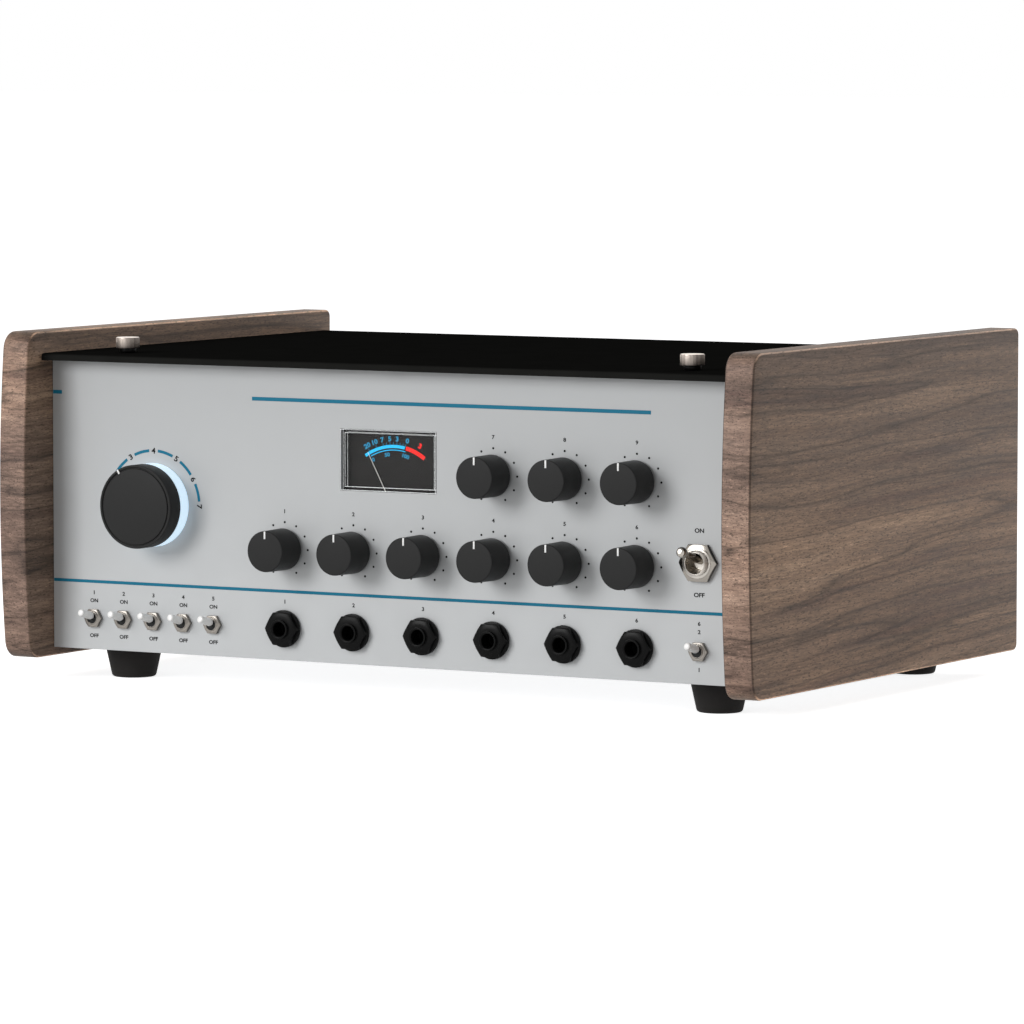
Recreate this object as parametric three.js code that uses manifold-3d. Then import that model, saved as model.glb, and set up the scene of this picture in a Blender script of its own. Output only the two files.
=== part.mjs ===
// Tape echo unit: a steel case between two wooden side panels, controls on the front panel,
// and the tape transport on a deck under the lid.
// Millimetres, +Z up, the front panel faces -Y. The origin is on the ground under the middle of the case.

import * as THREE from 'three';
import { mergeVertices } from 'three/addons/utils/BufferGeometryUtils.js';
import Module from 'manifold-3d';

// Case
const chassisWidth = 379; // between the side panels
const chassisHeight = 141.4; // from the underside of the floor to the top of the walls
const sheet = 1.5; // folded sheet of the chassis and the lid
const flangeWidth = 12; // folded edges behind the front panel
const wallFlange = 8; // folded top edges of the side walls
const sidePanelThickness = 15;
const sidePanelDepth = 282.4;
const sidePanelDrop = 4.3; // below the chassis floor
const sidePanelRise = 10.4; // above the lid
const sidePanelBow = 4.5; // how far the front edge swells between its ends
const sidePanelFrontCorner = 9;
const sidePanelRearCorner = 3.5;
const sidePanelEdge = 1.2; // rounding of the long edges
const panelSetback = 24.2; // front panel's face behind the swell of the side panels
const panelThickness = 2;
const rearWallSetback = 8; // rear wall in front of the side panels' rear edges
const seatGap = 0.3; // between pieces that touch
const overrun = 1; // of a cut past the face that it leaves

// Lid and its screws
const lidOverhang = 7.8; // in front of the front panel
const lidSideGap = 1.5;
const lidLip = 3.4;
const lidScrewInset = 34.8; // from the sides of the chassis
const lidScrewSetback = 13.7; // from the face of the front panel
const lidScrewHeadRadius = 5.8;
const lidScrewHeadHeight = 5.2;
const lidScrewCollarRadius = 4.4;
const lidScrewCollarHeight = 2.1;
const lidScrewShankRadius = 1.9;
const lidScrewShankLength = 11; // below the lid
const lidScrewPlay = 0.5; // round the shank
const knurlDepth = 0.35;
const railDepth = 28; // rail behind the front panel that the lid screws go into
const railBossRadius = 5;
const railBossHeight = 7;
const tongueWidth = 26; // rear tongues that the lid's rear lip stands on
const tongueInset = 70;

// Feet
const footHeight = 15.3;
const footTopRadius = 13.9;
const footBottomRadius = 10.8;
const footRounding = 1.6;
const footRecessRadius = 4;
const footRecessDepth = 7;
const footSideInset = 28; // from the sides of the chassis
const footFrontInset = 28.4; // from the face of the front panel
const footRearInset = 28; // from the rear edges of the side panels

// Knobs
const knobLeftInset = 132.2; // first column from the left end of the chassis
const knobRightInset = 56.3; // last column from the right end of the chassis
const knobRowHeight = 53.1; // lower row above the chassis floor
const knobRowPitch = 39;
const knobRadius = 10;
const knobFaceRadius = 9.7;
const knobDepth = 18.1; // knob's face in front of the panel
const knobBackGap = 1.2;
const knobChamfer = 0.7;
const knobPointerWidth = 0.9;
const knobPointerLength = 3.7;
const knobPointerDepth = 0.4;
const knobShaftRadius = 3;
const knobShaftReach = 10; // behind the face of the front panel

// Selector
const selectorLeftInset = 58.2; // from the left end of the chassis
const selectorHeight = 71.4; // above the chassis floor
const selectorRadius = 20.1;
const selectorDepth = 16.5;
const selectorGrooveRadius = 18.4; // middle of the groove in its face
const selectorGrooveWidth = 0.9;
const selectorGrooveDepth = 0.6;
const selectorNotchWidth = 2;
const selectorNotchLength = 3;
const selectorNotchDepth = 0.7;
const selectorRestDegrees = 120; // third step, counted from the right round the top
const lightRingDepth = 7;
const lightRingBore = 14;

// Pots and the selector switch behind the panel
const bushingRadius = 4.7;
const bushingReach = 0.7; // in front of the panel
const potSize = 16;
const selectorSwitchSize = 26;
const controlBoardSetback = 15; // from the face of the panel
const boardThickness = 1.6;
const controlBoardMargin = 14; // round the outermost shafts
const controlBoardWindowGap = 2; // round the meter's case

// Jacks
const jackHeight = 15.2; // above the chassis floor
const jackBoreRadius = 3.3;
const jackCollarRadius = 4.6;
const jackCollarDepth = 6;
const jackNutFlats = 15.4;
const jackNutDepth = 4.6;
const jackFlangeRadius = 8.9;
const jackFlangeDepth = 2;
const jackBarrelRadius = 5.6;
const jackBodySize = 17;
const jackBodyDepth = 22;
const jackBoreWall = 2; // behind the end of the bore

// Small switches
const switchInset = 23.7; // outermost switches from the ends of the chassis
const modeSwitchPitch = 17.05;
const smallBushingRadius = 3.2;
const smallBushingDepth = 2.6;
const smallNutFlats = 8.5;
const smallNutDepth = 2;
const smallPivotSetback = 2; // pivot behind the face of the panel
const smallLeverLength = 14.6;
const smallLeverRadius = 1.2;
const smallSleeveRadius = 1.95;
const smallSleeveGap = 0.4; // in front of the bushing
const smallSleeveCone = 0.6; // length of the cone that the sleeve starts with
const smallLeverTipRadius = 1.75;
const smallLeverTail = 1.8;
const smallTiltDegrees = 14;
const smallBodyWidth = 8;
const smallBodyHeight = 13;
const smallBodyDepth = 9;
const switchBoardMargin = 9;

// Power switch
const powerSwitchHeight = 56; // above the chassis floor
const powerBushingRadius = 5.9;
const powerBushingDepth = 5;
const powerNutFlats = 17;
const powerNutDepth = 2.6;
const powerPivotSetback = 5;
const powerLeverLength = 25;
const powerLeverRadius = 1.6;
const powerLeverTipRadius = 2.5;
const powerLeverTail = 2.5;
const powerTiltDegrees = 15.5;
const powerBodyWidth = 18;
const powerBodyHeight = 28;
const powerBodyDepth = 24;

// Meter
const meterWidth = 52.6; // window in the panel
const meterHeight = 29.3;
const meterCentreHeight = 96.8; // above the chassis floor
const meterProud = 0.4; // cover in front of the panel
const meterCoverWall = 1.5;
const meterCaseWidth = 60;
const meterCaseTop = 19; // above the middle of the window
const meterCaseBottom = 29; // below the middle of the window
const meterCaseDepth = 30;
const meterRim = 2;
const meterDialDepth = 1.8; // dial behind the rim of the case
const meterPivotDrop = 23; // pivot below the middle of the window
const needleLength = 30;
const needleWidth = 0.8;
const needleThickness = 0.5;
const needleHubRadius = 1.8;
const needleAxleRadius = 0.9;
const needleAxleLength = 5;
const needleTail = 4;
const needleRestDegrees = 28; // to the left of upright

// Deck and transport
const deckDrop = 44.4; // underside of the deck below the top of the walls
const deckThickness = 2;
const deckFrontSetback = 39; // from the face of the panel
const deckLedge = 10;
const postFlangeHeight = 1.2;
const postFlangeReach = 2; // flange of a guide beyond its waist
const guideRadius = 5;
const entryGuideRadius = 3;
const tapeWidth = 6.35;
const tapeThickness = 0.4;
const tapeHeight = 8.4; // lower edge of the tape above the deck
const tapeLineSetback = 33; // straight run past the heads, behind the front edge of the deck
const tapeReturnDepth = 111; // from that run to the run back into the bin
const tapeWave = 1.4; // swing of the folds in the bin
const capstanRightInset = 49.7; // from the inside of the right wall
const turnGuideReach = 27; // turning guides to the right of the capstan
const capstanRadius = 2;
const capstanRise = 6; // above the upper edge of the tape
const bearingRadius = 6;
const bearingHeight = 2;
const bearingDrop = 3;
const flywheelRadius = 32;
const flywheelThickness = 12;
const flywheelDrop = 6; // top of the flywheel under the deck
const flywheelRim = 6;
const flywheelHub = 8;
const flywheelRecess = 3;
const bridgeClearance = 1.6;
const bridgePillarRadius = 3;
const bridgeThickness = 3;
const bridgeDrop = 2; // bridge under the flywheel
const motorOffsetX = 43; // motor to the left of the capstan
const motorOffsetY = 57.5; // and behind it
const motorRadius = 18;
const motorHeight = 31;
const motorBossRadius = 5;
const motorBossHeight = 2;
const motorShaftRadius = 1.5;
const motorShaftReach = 12; // into the motor
const motorShaftHole = 5;
const pulleyRadius = 6;
const pulleyFlangeRadius = 7.5;
const pulleyFlange = 1;
const beltThickness = 0.9;
const beltWidth = 4;
const pinchRadius = 11;
const pinchHeight = 12;
const pinchAxleRadius = 1.5;
const pinchCapRadius = 3;
const pinchCapHeight = 1.5;
const pinchArmReach = 28; // from its pivot to the roller, along the heads
const pinchPivotSetback = 7.5; // pivot in front of the roller's axle
const pinchArmWidth = 11;
const pinchArmThickness = 2.5;
const pinchPostRadius = 2.5;
const pinchHubRadius = 5;
const pinchHubHeight = 9;

// Heads
const headWidth = 12;
const headDepth = 13;
const headHeight = 15;
const headNose = 3; // how far its rounded front stands out
const headPitch = 20;
const headCapstanGap = 32; // last head from the capstan
const headPlateThickness = 3;
const headPlateMargin = 5;
const headPlateSetback = 3; // behind the tape
const headPlateDepth = 25;
const headShelf = 2.5; // bar under the playback heads

// Tape bin
const binHeadGap = 51.3; // right end of the bin from the head plate
const binSideInset = 9.4; // from the inside of the left wall
const binMargin = 14; // round the folds of the tape
const binWall = 2;
const binFreeboard = 3; // wall above the tape
const binMouth = 8;
const binTurnInset = 12; // folds of the tape from the bin's end walls
const binCoverThickness = 2;
const binCoverStep = 1;

// Electronics
const standoffHeight = 8;
const standoffRadius = 3;
const mainBoardWidth = 190;
const mainBoardTankGap = 30.7; // rear edge of the board in front of the spring tank
const mainBoardFrontSetback = 30; // from the face of the panel
const mainBoardShift = 10; // to the right of the middle
const boardScrewInset = 6;
const connectorRowShare = 0.1; // rows of components, as shares of the depth of the board
const connectorWidth = 17;
const connectorDepth = 8;
const connectorHeight = 9;
const chipRowShare = 0.42;
const chipWidth = 8;
const chipDepth = 18;
const chipHeight = 4;
const capacitorRowShare = 0.78;
const capacitorRadius = 8;
const capacitorHeight = 24;
const componentMargin = 24; // from the left edge of the board to the first in each row
const componentPitch = 34;
const sinkRightInset = 12;
const sinkRearInset = 12;
const sinkWidth = 32;
const sinkDepth = 38;
const sinkHeight = 22;
const sinkWeb = 2;
const finThickness = 1.6;
const toroidRadius = 33;
const toroidBore = 11;
const toroidHeight = 34;
const toroidRightInset = 58; // from the inside of the right wall
const toroidRearInset = 46; // from the inside of the rear wall
const toroidRounding = 6;
const toroidPlateRadius = 19;
const toroidPlateThickness = 1.5;
const toroidBoltRadius = 3;
const toroidBoltRise = 5;
const tankToroidGap = 40.4; // right end of the tank from the transformer
const tankDepth = 60;
const tankHeight = 33;
const tankFlange = 8;
const tankLeftInset = 9;
const tankRearInset = 10;

// Power inlet and air slots in the rear wall
const inletRightInset = 38; // from the inside of the right wall
const inletHeight = 60; // above the chassis floor
const inletFlangeWidth = 50;
const inletFlangeHeight = 28;
const inletFlangeThickness = 2.5;
const inletBodyWidth = 28;
const inletBodyHeight = 21;
const inletBodyDepth = 20;
const inletWall = 1.8;
const inletCavityDepth = 16;
const inletPinThickness = 2;
const inletPinHeight = 4;
const inletPinLength = 13;
const inletPinSpread = 7;
const airSlotWidth = 4;
const airSlotHeight = 26;
const airSlotPitch = 10;
const airSlotDrop = 21.4; // top of the slots below the top of the walls

// Counts
const smoothCount = 20;
const largeCount = 32;
const mediumCount = 16;
const smallCount = 12;
const leverCount = 10;
const modeSwitchCount = 5;
const lowerKnobCount = 6;
const upperKnobCount = 3;
const jackCount = 6;
const knurlCount = 16;
const foldCount = 12;
const foldSteps = 5;
const playbackHeadCount = 3;
const airSlotCount = 9;
const connectorCount = 4;
const chipCount = 4;
const capacitorCount = 3;
const finCount = 5;

// Places that follow from the sizes
const floorZ = footHeight;
const floorTopZ = floorZ + sheet;
const wallTopZ = floorZ + chassisHeight;
const lidPlateZ = wallTopZ + seatGap;
const lidTopZ = lidPlateZ + sheet;
const lidLipZ = lidTopZ - lidLip;
const sidePanelBottomZ = floorZ - sidePanelDrop;
const sidePanelTopZ = lidTopZ + sidePanelRise;
const halfChassis = chassisWidth / 2;
const wallX = halfChassis - seatGap; // outside of the side walls
const innerX = wallX - sheet; // inside of the side walls
const frontY = -sidePanelDepth / 2;
const rearY = sidePanelDepth / 2;
const panelFaceY = frontY + panelSetback;
const panelBackY = panelFaceY + panelThickness;
const rearWallY = rearY - rearWallSetback;
const innerRearY = rearWallY - sheet;
const lidFrontY = panelFaceY - lidOverhang;
const lidRearY = rearWallY + seatGap + sheet;
const lidScrewX = halfChassis - lidScrewInset;
const lidScrewY = panelFaceY + lidScrewSetback;

const jackZ = floorZ + jackHeight;
const lowerKnobZ = floorZ + knobRowHeight;
const upperKnobZ = lowerKnobZ + knobRowPitch;
const firstColumnX = knobLeftInset - halfChassis;
const lastColumnX = halfChassis - knobRightInset;
const knobPitch = (lastColumnX - firstColumnX) / (lowerKnobCount - 1);
const columnX = (column) => firstColumnX + (column - 1) * knobPitch;
const selectorX = selectorLeftInset - halfChassis;
const selectorZ = floorZ + selectorHeight;
const switchX = halfChassis - switchInset;
const modeSwitchX = (number) => -switchX + (number - 1) * modeSwitchPitch;
const powerSwitchZ = floorZ + powerSwitchHeight;
const meterZ = floorZ + meterCentreHeight;
const meterPivotZ = meterZ - meterPivotDrop;

const deckZ = wallTopZ - deckDrop;
const deckTopZ = deckZ + deckThickness;
const deckFrontY = panelFaceY + deckFrontSetback;
const deckRearY = innerRearY - seatGap;
const tapeBottomZ = deckTopZ + tapeHeight;
const tapeTopZ = tapeBottomZ + tapeWidth;
const tapeY = deckFrontY + tapeLineSetback; // middle of the tape past the heads
const tapeReturnY = tapeY + tapeReturnDepth;
const tapeClearance = tapeThickness / 2 + seatGap; // from the middle of the tape to what it touches
const capstanX = innerX - capstanRightInset;
const capstanY = tapeY + tapeClearance + capstanRadius;
const flywheelTopZ = deckZ - flywheelDrop;
const flywheelBottomZ = flywheelTopZ - flywheelThickness;
const motorX = capstanX - motorOffsetX;
const motorY = capstanY + motorOffsetY;
const pinchX = capstanX;
const pinchY = tapeY - tapeClearance - pinchRadius;
const pinchPivotX = pinchX - pinchArmReach;
const pinchPivotY = pinchY - pinchPivotSetback;
const headY = tapeY + tapeClearance; // front of the heads
const lastHeadX = capstanX - headCapstanGap;
const headX = (number) => lastHeadX - (playbackHeadCount + 2 - number) * headPitch;
const headPlateTopZ = deckTopZ + seatGap + headPlateThickness;
const binLeftX = -innerX + binSideInset;
const headPlateLeftX = headX(1) - headWidth / 2 - headPlateMargin;
const binRightX = headPlateLeftX - binHeadGap;
const binFrontY = tapeY - binMargin;
const binRearY = tapeReturnY + binMargin;
const binTopZ = tapeTopZ + binFreeboard;
const turnGuideX = capstanX + turnGuideReach;

// Solids
const wasm = await Module();
wasm.setup();

const right = new THREE.Vector3(1, 0, 0);
const back = new THREE.Vector3(0, 1, 0);
const up = new THREE.Vector3(0, 0, 1);
const front = back.clone().negate();
const down = up.clone().negate();
const acrossCase = new THREE.Matrix4().makeBasis(back, up, right); // drawn from the right side, runs to +X
const intoCase = new THREE.Matrix4().makeBasis(right, up, front); // drawn from the front, runs to -Y
const upright = new THREE.Matrix4(); // drawn from above, runs to +Z
const turnedUpright = new THREE.Matrix4().makeBasis(right, up, front); // revolved round +Z
const turnedToFront = new THREE.Matrix4().makeBasis(right, front, down); // revolved round -Y

function solid(geometry) {
  const bare = new THREE.BufferGeometry();
  bare.setAttribute('position', geometry.getAttribute('position'));
  bare.setIndex(geometry.getIndex());
  const merged = mergeVertices(bare);
  const corners = merged.getIndex().array;
  const faces = [];
  for (let i = 0; i < corners.length; i += 3) {
    const [a, b, c] = corners.slice(i, i + 3);
    if (a !== b && b !== c && c !== a) faces.push(a, b, c);
  }
  const vertProperties = merged.getAttribute('position').array;
  return new wasm.Manifold(new wasm.Mesh({ numProp: 3, vertProperties, triVerts: new Uint32Array(faces) }));
}

function block([left, rightEnd], [near, far], [bottom, top]) {
  const geometry = new THREE.BoxGeometry(rightEnd - left, far - near, top - bottom);
  geometry.translate((left + rightEnd) / 2, (near + far) / 2, (bottom + top) / 2);
  return solid(geometry);
}

function prism(outline, frame, length, holes = [], bevel = 0) {
  const shape = new THREE.Shape(outline);
  shape.holes = holes.map((hole) => new THREE.Path(hole));
  const geometry = new THREE.ExtrudeGeometry(shape, {
    depth: length - 2 * bevel,
    bevelEnabled: bevel > 0,
    bevelThickness: bevel,
    bevelSize: bevel,
    bevelOffset: -bevel,
    bevelSegments: 2,
  });
  geometry.translate(0, 0, bevel);
  geometry.applyMatrix4(frame);
  return solid(geometry);
}

// A profile is a list of [radius, height], from its lowest point outwards and up.
function revolve(profile, frame = turnedUpright, count = smoothCount, start = 0) {
  const points = profile.map(([radius, height]) => new THREE.Vector2(radius, height));
  const geometry = new THREE.LatheGeometry(points, count, start);
  geometry.applyMatrix4(frame);
  return solid(geometry);
}

function cylinder(radius, [bottom, top], frame = turnedUpright, count = smoothCount) {
  return revolve([[0, bottom], [radius, bottom], [radius, top], [0, top]], frame, count);
}

function hexagon(flats, [bottom, top], frame) {
  const corner = flats / Math.sqrt(3);
  return revolve([[0, bottom], [corner, bottom], [corner, top], [0, top]], frame, 6, Math.PI / 2);
}

function arc(x, y, radius, startAngle, endAngle, steps) {
  return Array.from({ length: steps + 1 }, (_, i) => {
    const angle = startAngle + ((endAngle - startAngle) * i) / steps;
    return new THREE.Vector2(x + radius * Math.cos(angle), y + radius * Math.sin(angle));
  });
}

function circle(x, y, radius, count = smoothCount) {
  return arc(x, y, radius, 0, 2 * Math.PI, count).slice(0, count);
}

function rectangle([left, rightEnd], [bottom, top]) {
  return [
    new THREE.Vector2(left, bottom),
    new THREE.Vector2(rightEnd, bottom),
    new THREE.Vector2(rightEnd, top),
    new THREE.Vector2(left, top),
  ];
}

function joined(...solids) {
  return solids.reduce((whole, next) => whole.add(next));
}

// Materials
const finish = (color, roughness, metalness = 0, extra = {}) =>
  new THREE.MeshStandardMaterial({ color, roughness, metalness, ...extra });
const walnut = finish(0x75655a, 0.6);
const paintedPanel = finish(0xbec0c1, 0.45, 0.3);
const blackPaint = finish(0x141413, 0.75);
const zincSheet = finish(0x9a9c9e, 0.4, 0.8);
const rubber = finish(0x1a1a1a, 0.9);
const knobPlastic = finish(0x333333, 0.5);
const blackPlastic = finish(0x17181a, 0.45);
const lightPlastic = finish(0xdff4ff, 0.4, 0, { emissive: 0xbfe6ff });
const nickel = finish(0xc8c8c6, 0.22, 1);
const steel = finish(0xa8abad, 0.3, 1);
const aluminium = finish(0xb6b8ba, 0.35, 0.9);
const clearPlastic = finish(0xf4f7f8, 0.08, 0, { transparent: true, opacity: 0.3 });
const needleWhite = finish(0xd9d7d2, 0.5);
const greenBoard = finish(0x1f5a36, 0.5);
const tapeBrown = finish(0x3a2a20, 0.35);
const beltRubber = finish(0x202020, 0.8);
const transformerWrap = finish(0xc9a33f, 0.5);

const unit = new THREE.Group();

function addPiece(name, whole, material) {
  const mesh = whole.getMesh();
  const geometry = new THREE.BufferGeometry();
  geometry.setAttribute('position', new THREE.BufferAttribute(mesh.vertProperties, 3));
  geometry.setIndex(new THREE.BufferAttribute(mesh.triVerts, 1));
  geometry.computeVertexNormals();
  const piece = new THREE.Mesh(geometry, material);
  piece.name = name;
  unit.add(piece);
}

// Side panels: a bowed front edge that runs into two rounded corners, and a straight rear edge
function sidePanel() {
  const middleZ = (sidePanelTopZ + sidePanelBottomZ) / 2;
  const half = (sidePanelTopZ - sidePanelBottomZ) / 2;
  const bowRadius = (half ** 2 + sidePanelBow ** 2) / (2 * sidePanelBow);
  const bowCentreY = frontY + bowRadius;
  const cornerRise = half - sidePanelFrontCorner;
  const cornerY = bowCentreY - Math.sqrt((bowRadius - sidePanelFrontCorner) ** 2 - cornerRise ** 2);
  const turn = Math.atan2(cornerRise, bowCentreY - cornerY);
  const quarter = Math.PI / 2;
  const rearCornerY = rearY - sidePanelRearCorner;
  const rearRise = half - sidePanelRearCorner;
  const outline = [
    ...arc(cornerY, middleZ - cornerRise, sidePanelFrontCorner, Math.PI + turn, 3 * quarter, 5),
    ...arc(rearCornerY, middleZ - rearRise, sidePanelRearCorner, -quarter, 0, 3),
    ...arc(rearCornerY, middleZ + rearRise, sidePanelRearCorner, 0, quarter, 3),
    ...arc(cornerY, middleZ + cornerRise, sidePanelFrontCorner, quarter, Math.PI - turn, 5),
    ...arc(bowCentreY, middleZ, bowRadius, Math.PI - turn, Math.PI + turn, 8).slice(1, -1),
  ];
  return prism(outline, acrossCase, sidePanelThickness, [], sidePanelEdge);
}

const plainSidePanel = sidePanel();
addPiece('left_side_panel', plainSidePanel.translate([-halfChassis - sidePanelThickness, 0, 0]), walnut);
addPiece('right_side_panel', plainSidePanel.translate([halfChassis, 0, 0]), walnut);

// Front panel with a hole for each bushing and a window for the meter
const meterLeft = -meterWidth / 2;
const meterRight = meterWidth / 2;
const meterBottomZ = meterZ - meterHeight / 2;
const meterTopZ = meterZ + meterHeight / 2;
const lowerKnobs = Array.from({ length: lowerKnobCount }, (_, i) => [columnX(i + 1), lowerKnobZ]);
const upperKnobs = Array.from({ length: upperKnobCount }, (_, i) => {
  return [columnX(lowerKnobCount - upperKnobCount + i + 1), upperKnobZ];
});
const jacks = Array.from({ length: jackCount }, (_, i) => [columnX(i + 1), jackZ]);
const modeSwitches = Array.from({ length: modeSwitchCount }, (_, i) => [modeSwitchX(i + 1), jackZ]);
const panelHoles = [
  rectangle([meterLeft, meterRight], [meterBottomZ, meterTopZ]),
  circle(selectorX, selectorZ, bushingRadius + seatGap, smallCount),
  ...[...lowerKnobs, ...upperKnobs].map(([x, z]) => circle(x, z, bushingRadius + seatGap, smallCount)),
  ...jacks.map(([x, z]) => circle(x, z, jackBarrelRadius + seatGap, smallCount)),
  ...modeSwitches.map(([x, z]) => circle(x, z, smallBushingRadius + seatGap, smallCount)),
  circle(switchX, jackZ, smallBushingRadius + seatGap, smallCount),
  circle(switchX, powerSwitchZ, powerBushingRadius + seatGap, smallCount),
];
const panelOutline = rectangle([-wallX, wallX], [floorZ, wallTopZ]);
const frontPanel = prism(panelOutline, intoCase, panelThickness, panelHoles);
addPiece('front_panel', frontPanel.translate([0, panelBackY, 0]), paintedPanel);

// Chassis tray
const flangeY = panelBackY + seatGap;
const inletX = innerX - inletRightInset;
const inletZ = floorZ + inletHeight;
const boardLeftX = mainBoardShift - mainBoardWidth / 2;
const boardRightX = mainBoardShift + mainBoardWidth / 2;
const tankRearY = innerRearY - tankRearInset;
const boardFrontY = panelFaceY + mainBoardFrontSetback;
const boardRearY = tankRearY - tankDepth - mainBoardTankGap;
const boardDepth = boardRearY - boardFrontY;

function chassisTray() {
  const outside = block([-wallX, wallX], [flangeY, rearWallY], [floorZ, wallTopZ]);
  const inside = block([-innerX, innerX], [flangeY - overrun, innerRearY], [floorTopZ, wallTopZ + overrun]);
  let tray = outside.subtract(inside);
  for (const side of [-1, 1]) {
    const inward = (reach) => [side * innerX, side * (innerX - reach)].sort((a, b) => a - b);
    tray = joined(
      tray,
      block(inward(flangeWidth), [flangeY, flangeY + sheet], [floorZ, wallTopZ]),
      block(inward(wallFlange), [flangeY, rearWallY], [wallTopZ - sheet, wallTopZ]),
      block(inward(deckLedge), [deckFrontY, rearWallY], [deckZ - seatGap - sheet, deckZ - seatGap]),
    );
  }
  const rail = block([-innerX, innerX], [flangeY, flangeY + railDepth], [wallTopZ - sheet, wallTopZ]);
  const floorFlange = block([-innerX, innerX], [flangeY, flangeY + sheet], [floorZ, floorTopZ + sheet]);
  tray = joined(tray, rail, floorFlange);
  for (const side of [-1, 1]) {
    const boss = cylinder(railBossRadius, [wallTopZ - railBossHeight, wallTopZ], turnedUpright, smallCount);
    const hole = cylinder(
      lidScrewShankRadius + lidScrewPlay,
      [wallTopZ - railBossHeight - overrun, wallTopZ + overrun],
      turnedUpright,
      smallCount,
    );
    const place = [side * lidScrewX, lidScrewY, 0];
    tray = tray.add(boss.translate(place)).subtract(hole.translate(place));
    const tongueX = side * (halfChassis - tongueInset);
    tray = tray.add(
      block(
        [tongueX - tongueWidth / 2, tongueX + tongueWidth / 2],
        [rearWallY - sheet, lidRearY],
        [lidLipZ - seatGap - sheet, lidLipZ - seatGap],
      ),
    );
  }
  const standoff = cylinder(standoffRadius, [floorZ, floorTopZ + standoffHeight], turnedUpright, smallCount);
  for (const x of [boardLeftX + boardScrewInset, boardRightX - boardScrewInset]) {
    for (const y of [boardFrontY + boardScrewInset, boardRearY - boardScrewInset]) {
      tray = tray.add(standoff.translate([x, y, 0]));
    }
  }
  const cutDepth = [innerRearY - overrun, rearWallY + overrun];
  tray = tray.subtract(
    block(
      [inletX - inletBodyWidth / 2 - seatGap, inletX + inletBodyWidth / 2 + seatGap],
      cutDepth,
      [inletZ - inletBodyHeight / 2 - seatGap, inletZ + inletBodyHeight / 2 + seatGap],
    ),
  );
  for (let i = 0; i < airSlotCount; i++) {
    const x = (i - (airSlotCount - 1) / 2) * airSlotPitch;
    const top = wallTopZ - airSlotDrop;
    const span = [x - airSlotWidth / 2, x + airSlotWidth / 2];
    tray = tray.subtract(block(span, cutDepth, [top - airSlotHeight, top]));
  }
  return tray;
}
addPiece('chassis_tray', chassisTray(), zincSheet);

// Lid: a folded sheet with a lip in front and behind
function topLid() {
  const across = [-halfChassis + lidSideGap, halfChassis - lidSideGap];
  const sheetPlate = block(across, [lidFrontY, lidRearY], [lidPlateZ, lidTopZ]);
  const frontLip = block(across, [lidFrontY, lidFrontY + sheet], [lidLipZ, lidTopZ]);
  const rearLip = block(across, [lidRearY - sheet, lidRearY], [lidLipZ, lidTopZ]);
  const holeSpan = [lidPlateZ - overrun, lidTopZ + overrun];
  const hole = cylinder(lidScrewShankRadius + lidScrewPlay, holeSpan, turnedUpright, smallCount);
  return joined(sheetPlate, frontLip, rearLip)
    .subtract(hole.translate([-lidScrewX, lidScrewY, 0]))
    .subtract(hole.translate([lidScrewX, lidScrewY, 0]));
}
addPiece('top_lid', topLid(), blackPaint);

// Lid screws: knurled head, plain collar, shank
function lidScrew() {
  const collarZ = lidTopZ + seatGap;
  const headZ = collarZ + lidScrewCollarHeight;
  const headTopZ = headZ + lidScrewHeadHeight;
  const knurl = Array.from({ length: 2 * knurlCount }, (_, i) => {
    const radius = lidScrewHeadRadius - (i % 2) * knurlDepth;
    const angle = (i * Math.PI) / knurlCount;
    return new THREE.Vector2(radius * Math.cos(angle), radius * Math.sin(angle));
  });
  const head = prism(knurl, upright, lidScrewHeadHeight).translate([0, 0, headZ]);
  const collar = cylinder(lidScrewCollarRadius, [collarZ, headZ + overrun], turnedUpright, smoothCount);
  const shankZ = lidPlateZ - lidScrewShankLength;
  const shank = cylinder(lidScrewShankRadius, [shankZ, headTopZ - overrun], turnedUpright, smallCount);
  return joined(head, collar, shank);
}
const plainLidScrew = lidScrew();
addPiece('lid_screw_left', plainLidScrew.translate([-lidScrewX, lidScrewY, 0]), nickel);
addPiece('lid_screw_right', plainLidScrew.translate([lidScrewX, lidScrewY, 0]), nickel);

// Feet, with the recess that their screw sits in
const foot = revolve([
  [0, footRecessDepth],
  [footRecessRadius, footRecessDepth],
  [footRecessRadius, 0],
  [footBottomRadius - footRounding, 0],
  [footBottomRadius, footRounding],
  [footTopRadius, footHeight - seatGap],
  [0, footHeight - seatGap],
], turnedUpright, mediumCount);
for (const [end, y] of [['front', panelFaceY + footFrontInset], ['rear', rearY - footRearInset]]) {
  addPiece(`foot_${end}_left`, foot.translate([footSideInset - halfChassis, y, 0]), rubber);
  addPiece(`foot_${end}_right`, foot.translate([halfChassis - footSideInset, y, 0]), rubber);
}

// Light ring and selector knob
const lightRing = revolve(
  [
    [lightRingBore, seatGap],
    [selectorRadius, seatGap],
    [selectorRadius, lightRingDepth],
    [lightRingBore, lightRingDepth],
    [lightRingBore, seatGap],
  ],
  turnedToFront,
  largeCount,
);
addPiece('selector_light_ring', lightRing.translate([selectorX, panelFaceY, selectorZ]), lightPlastic);

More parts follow.
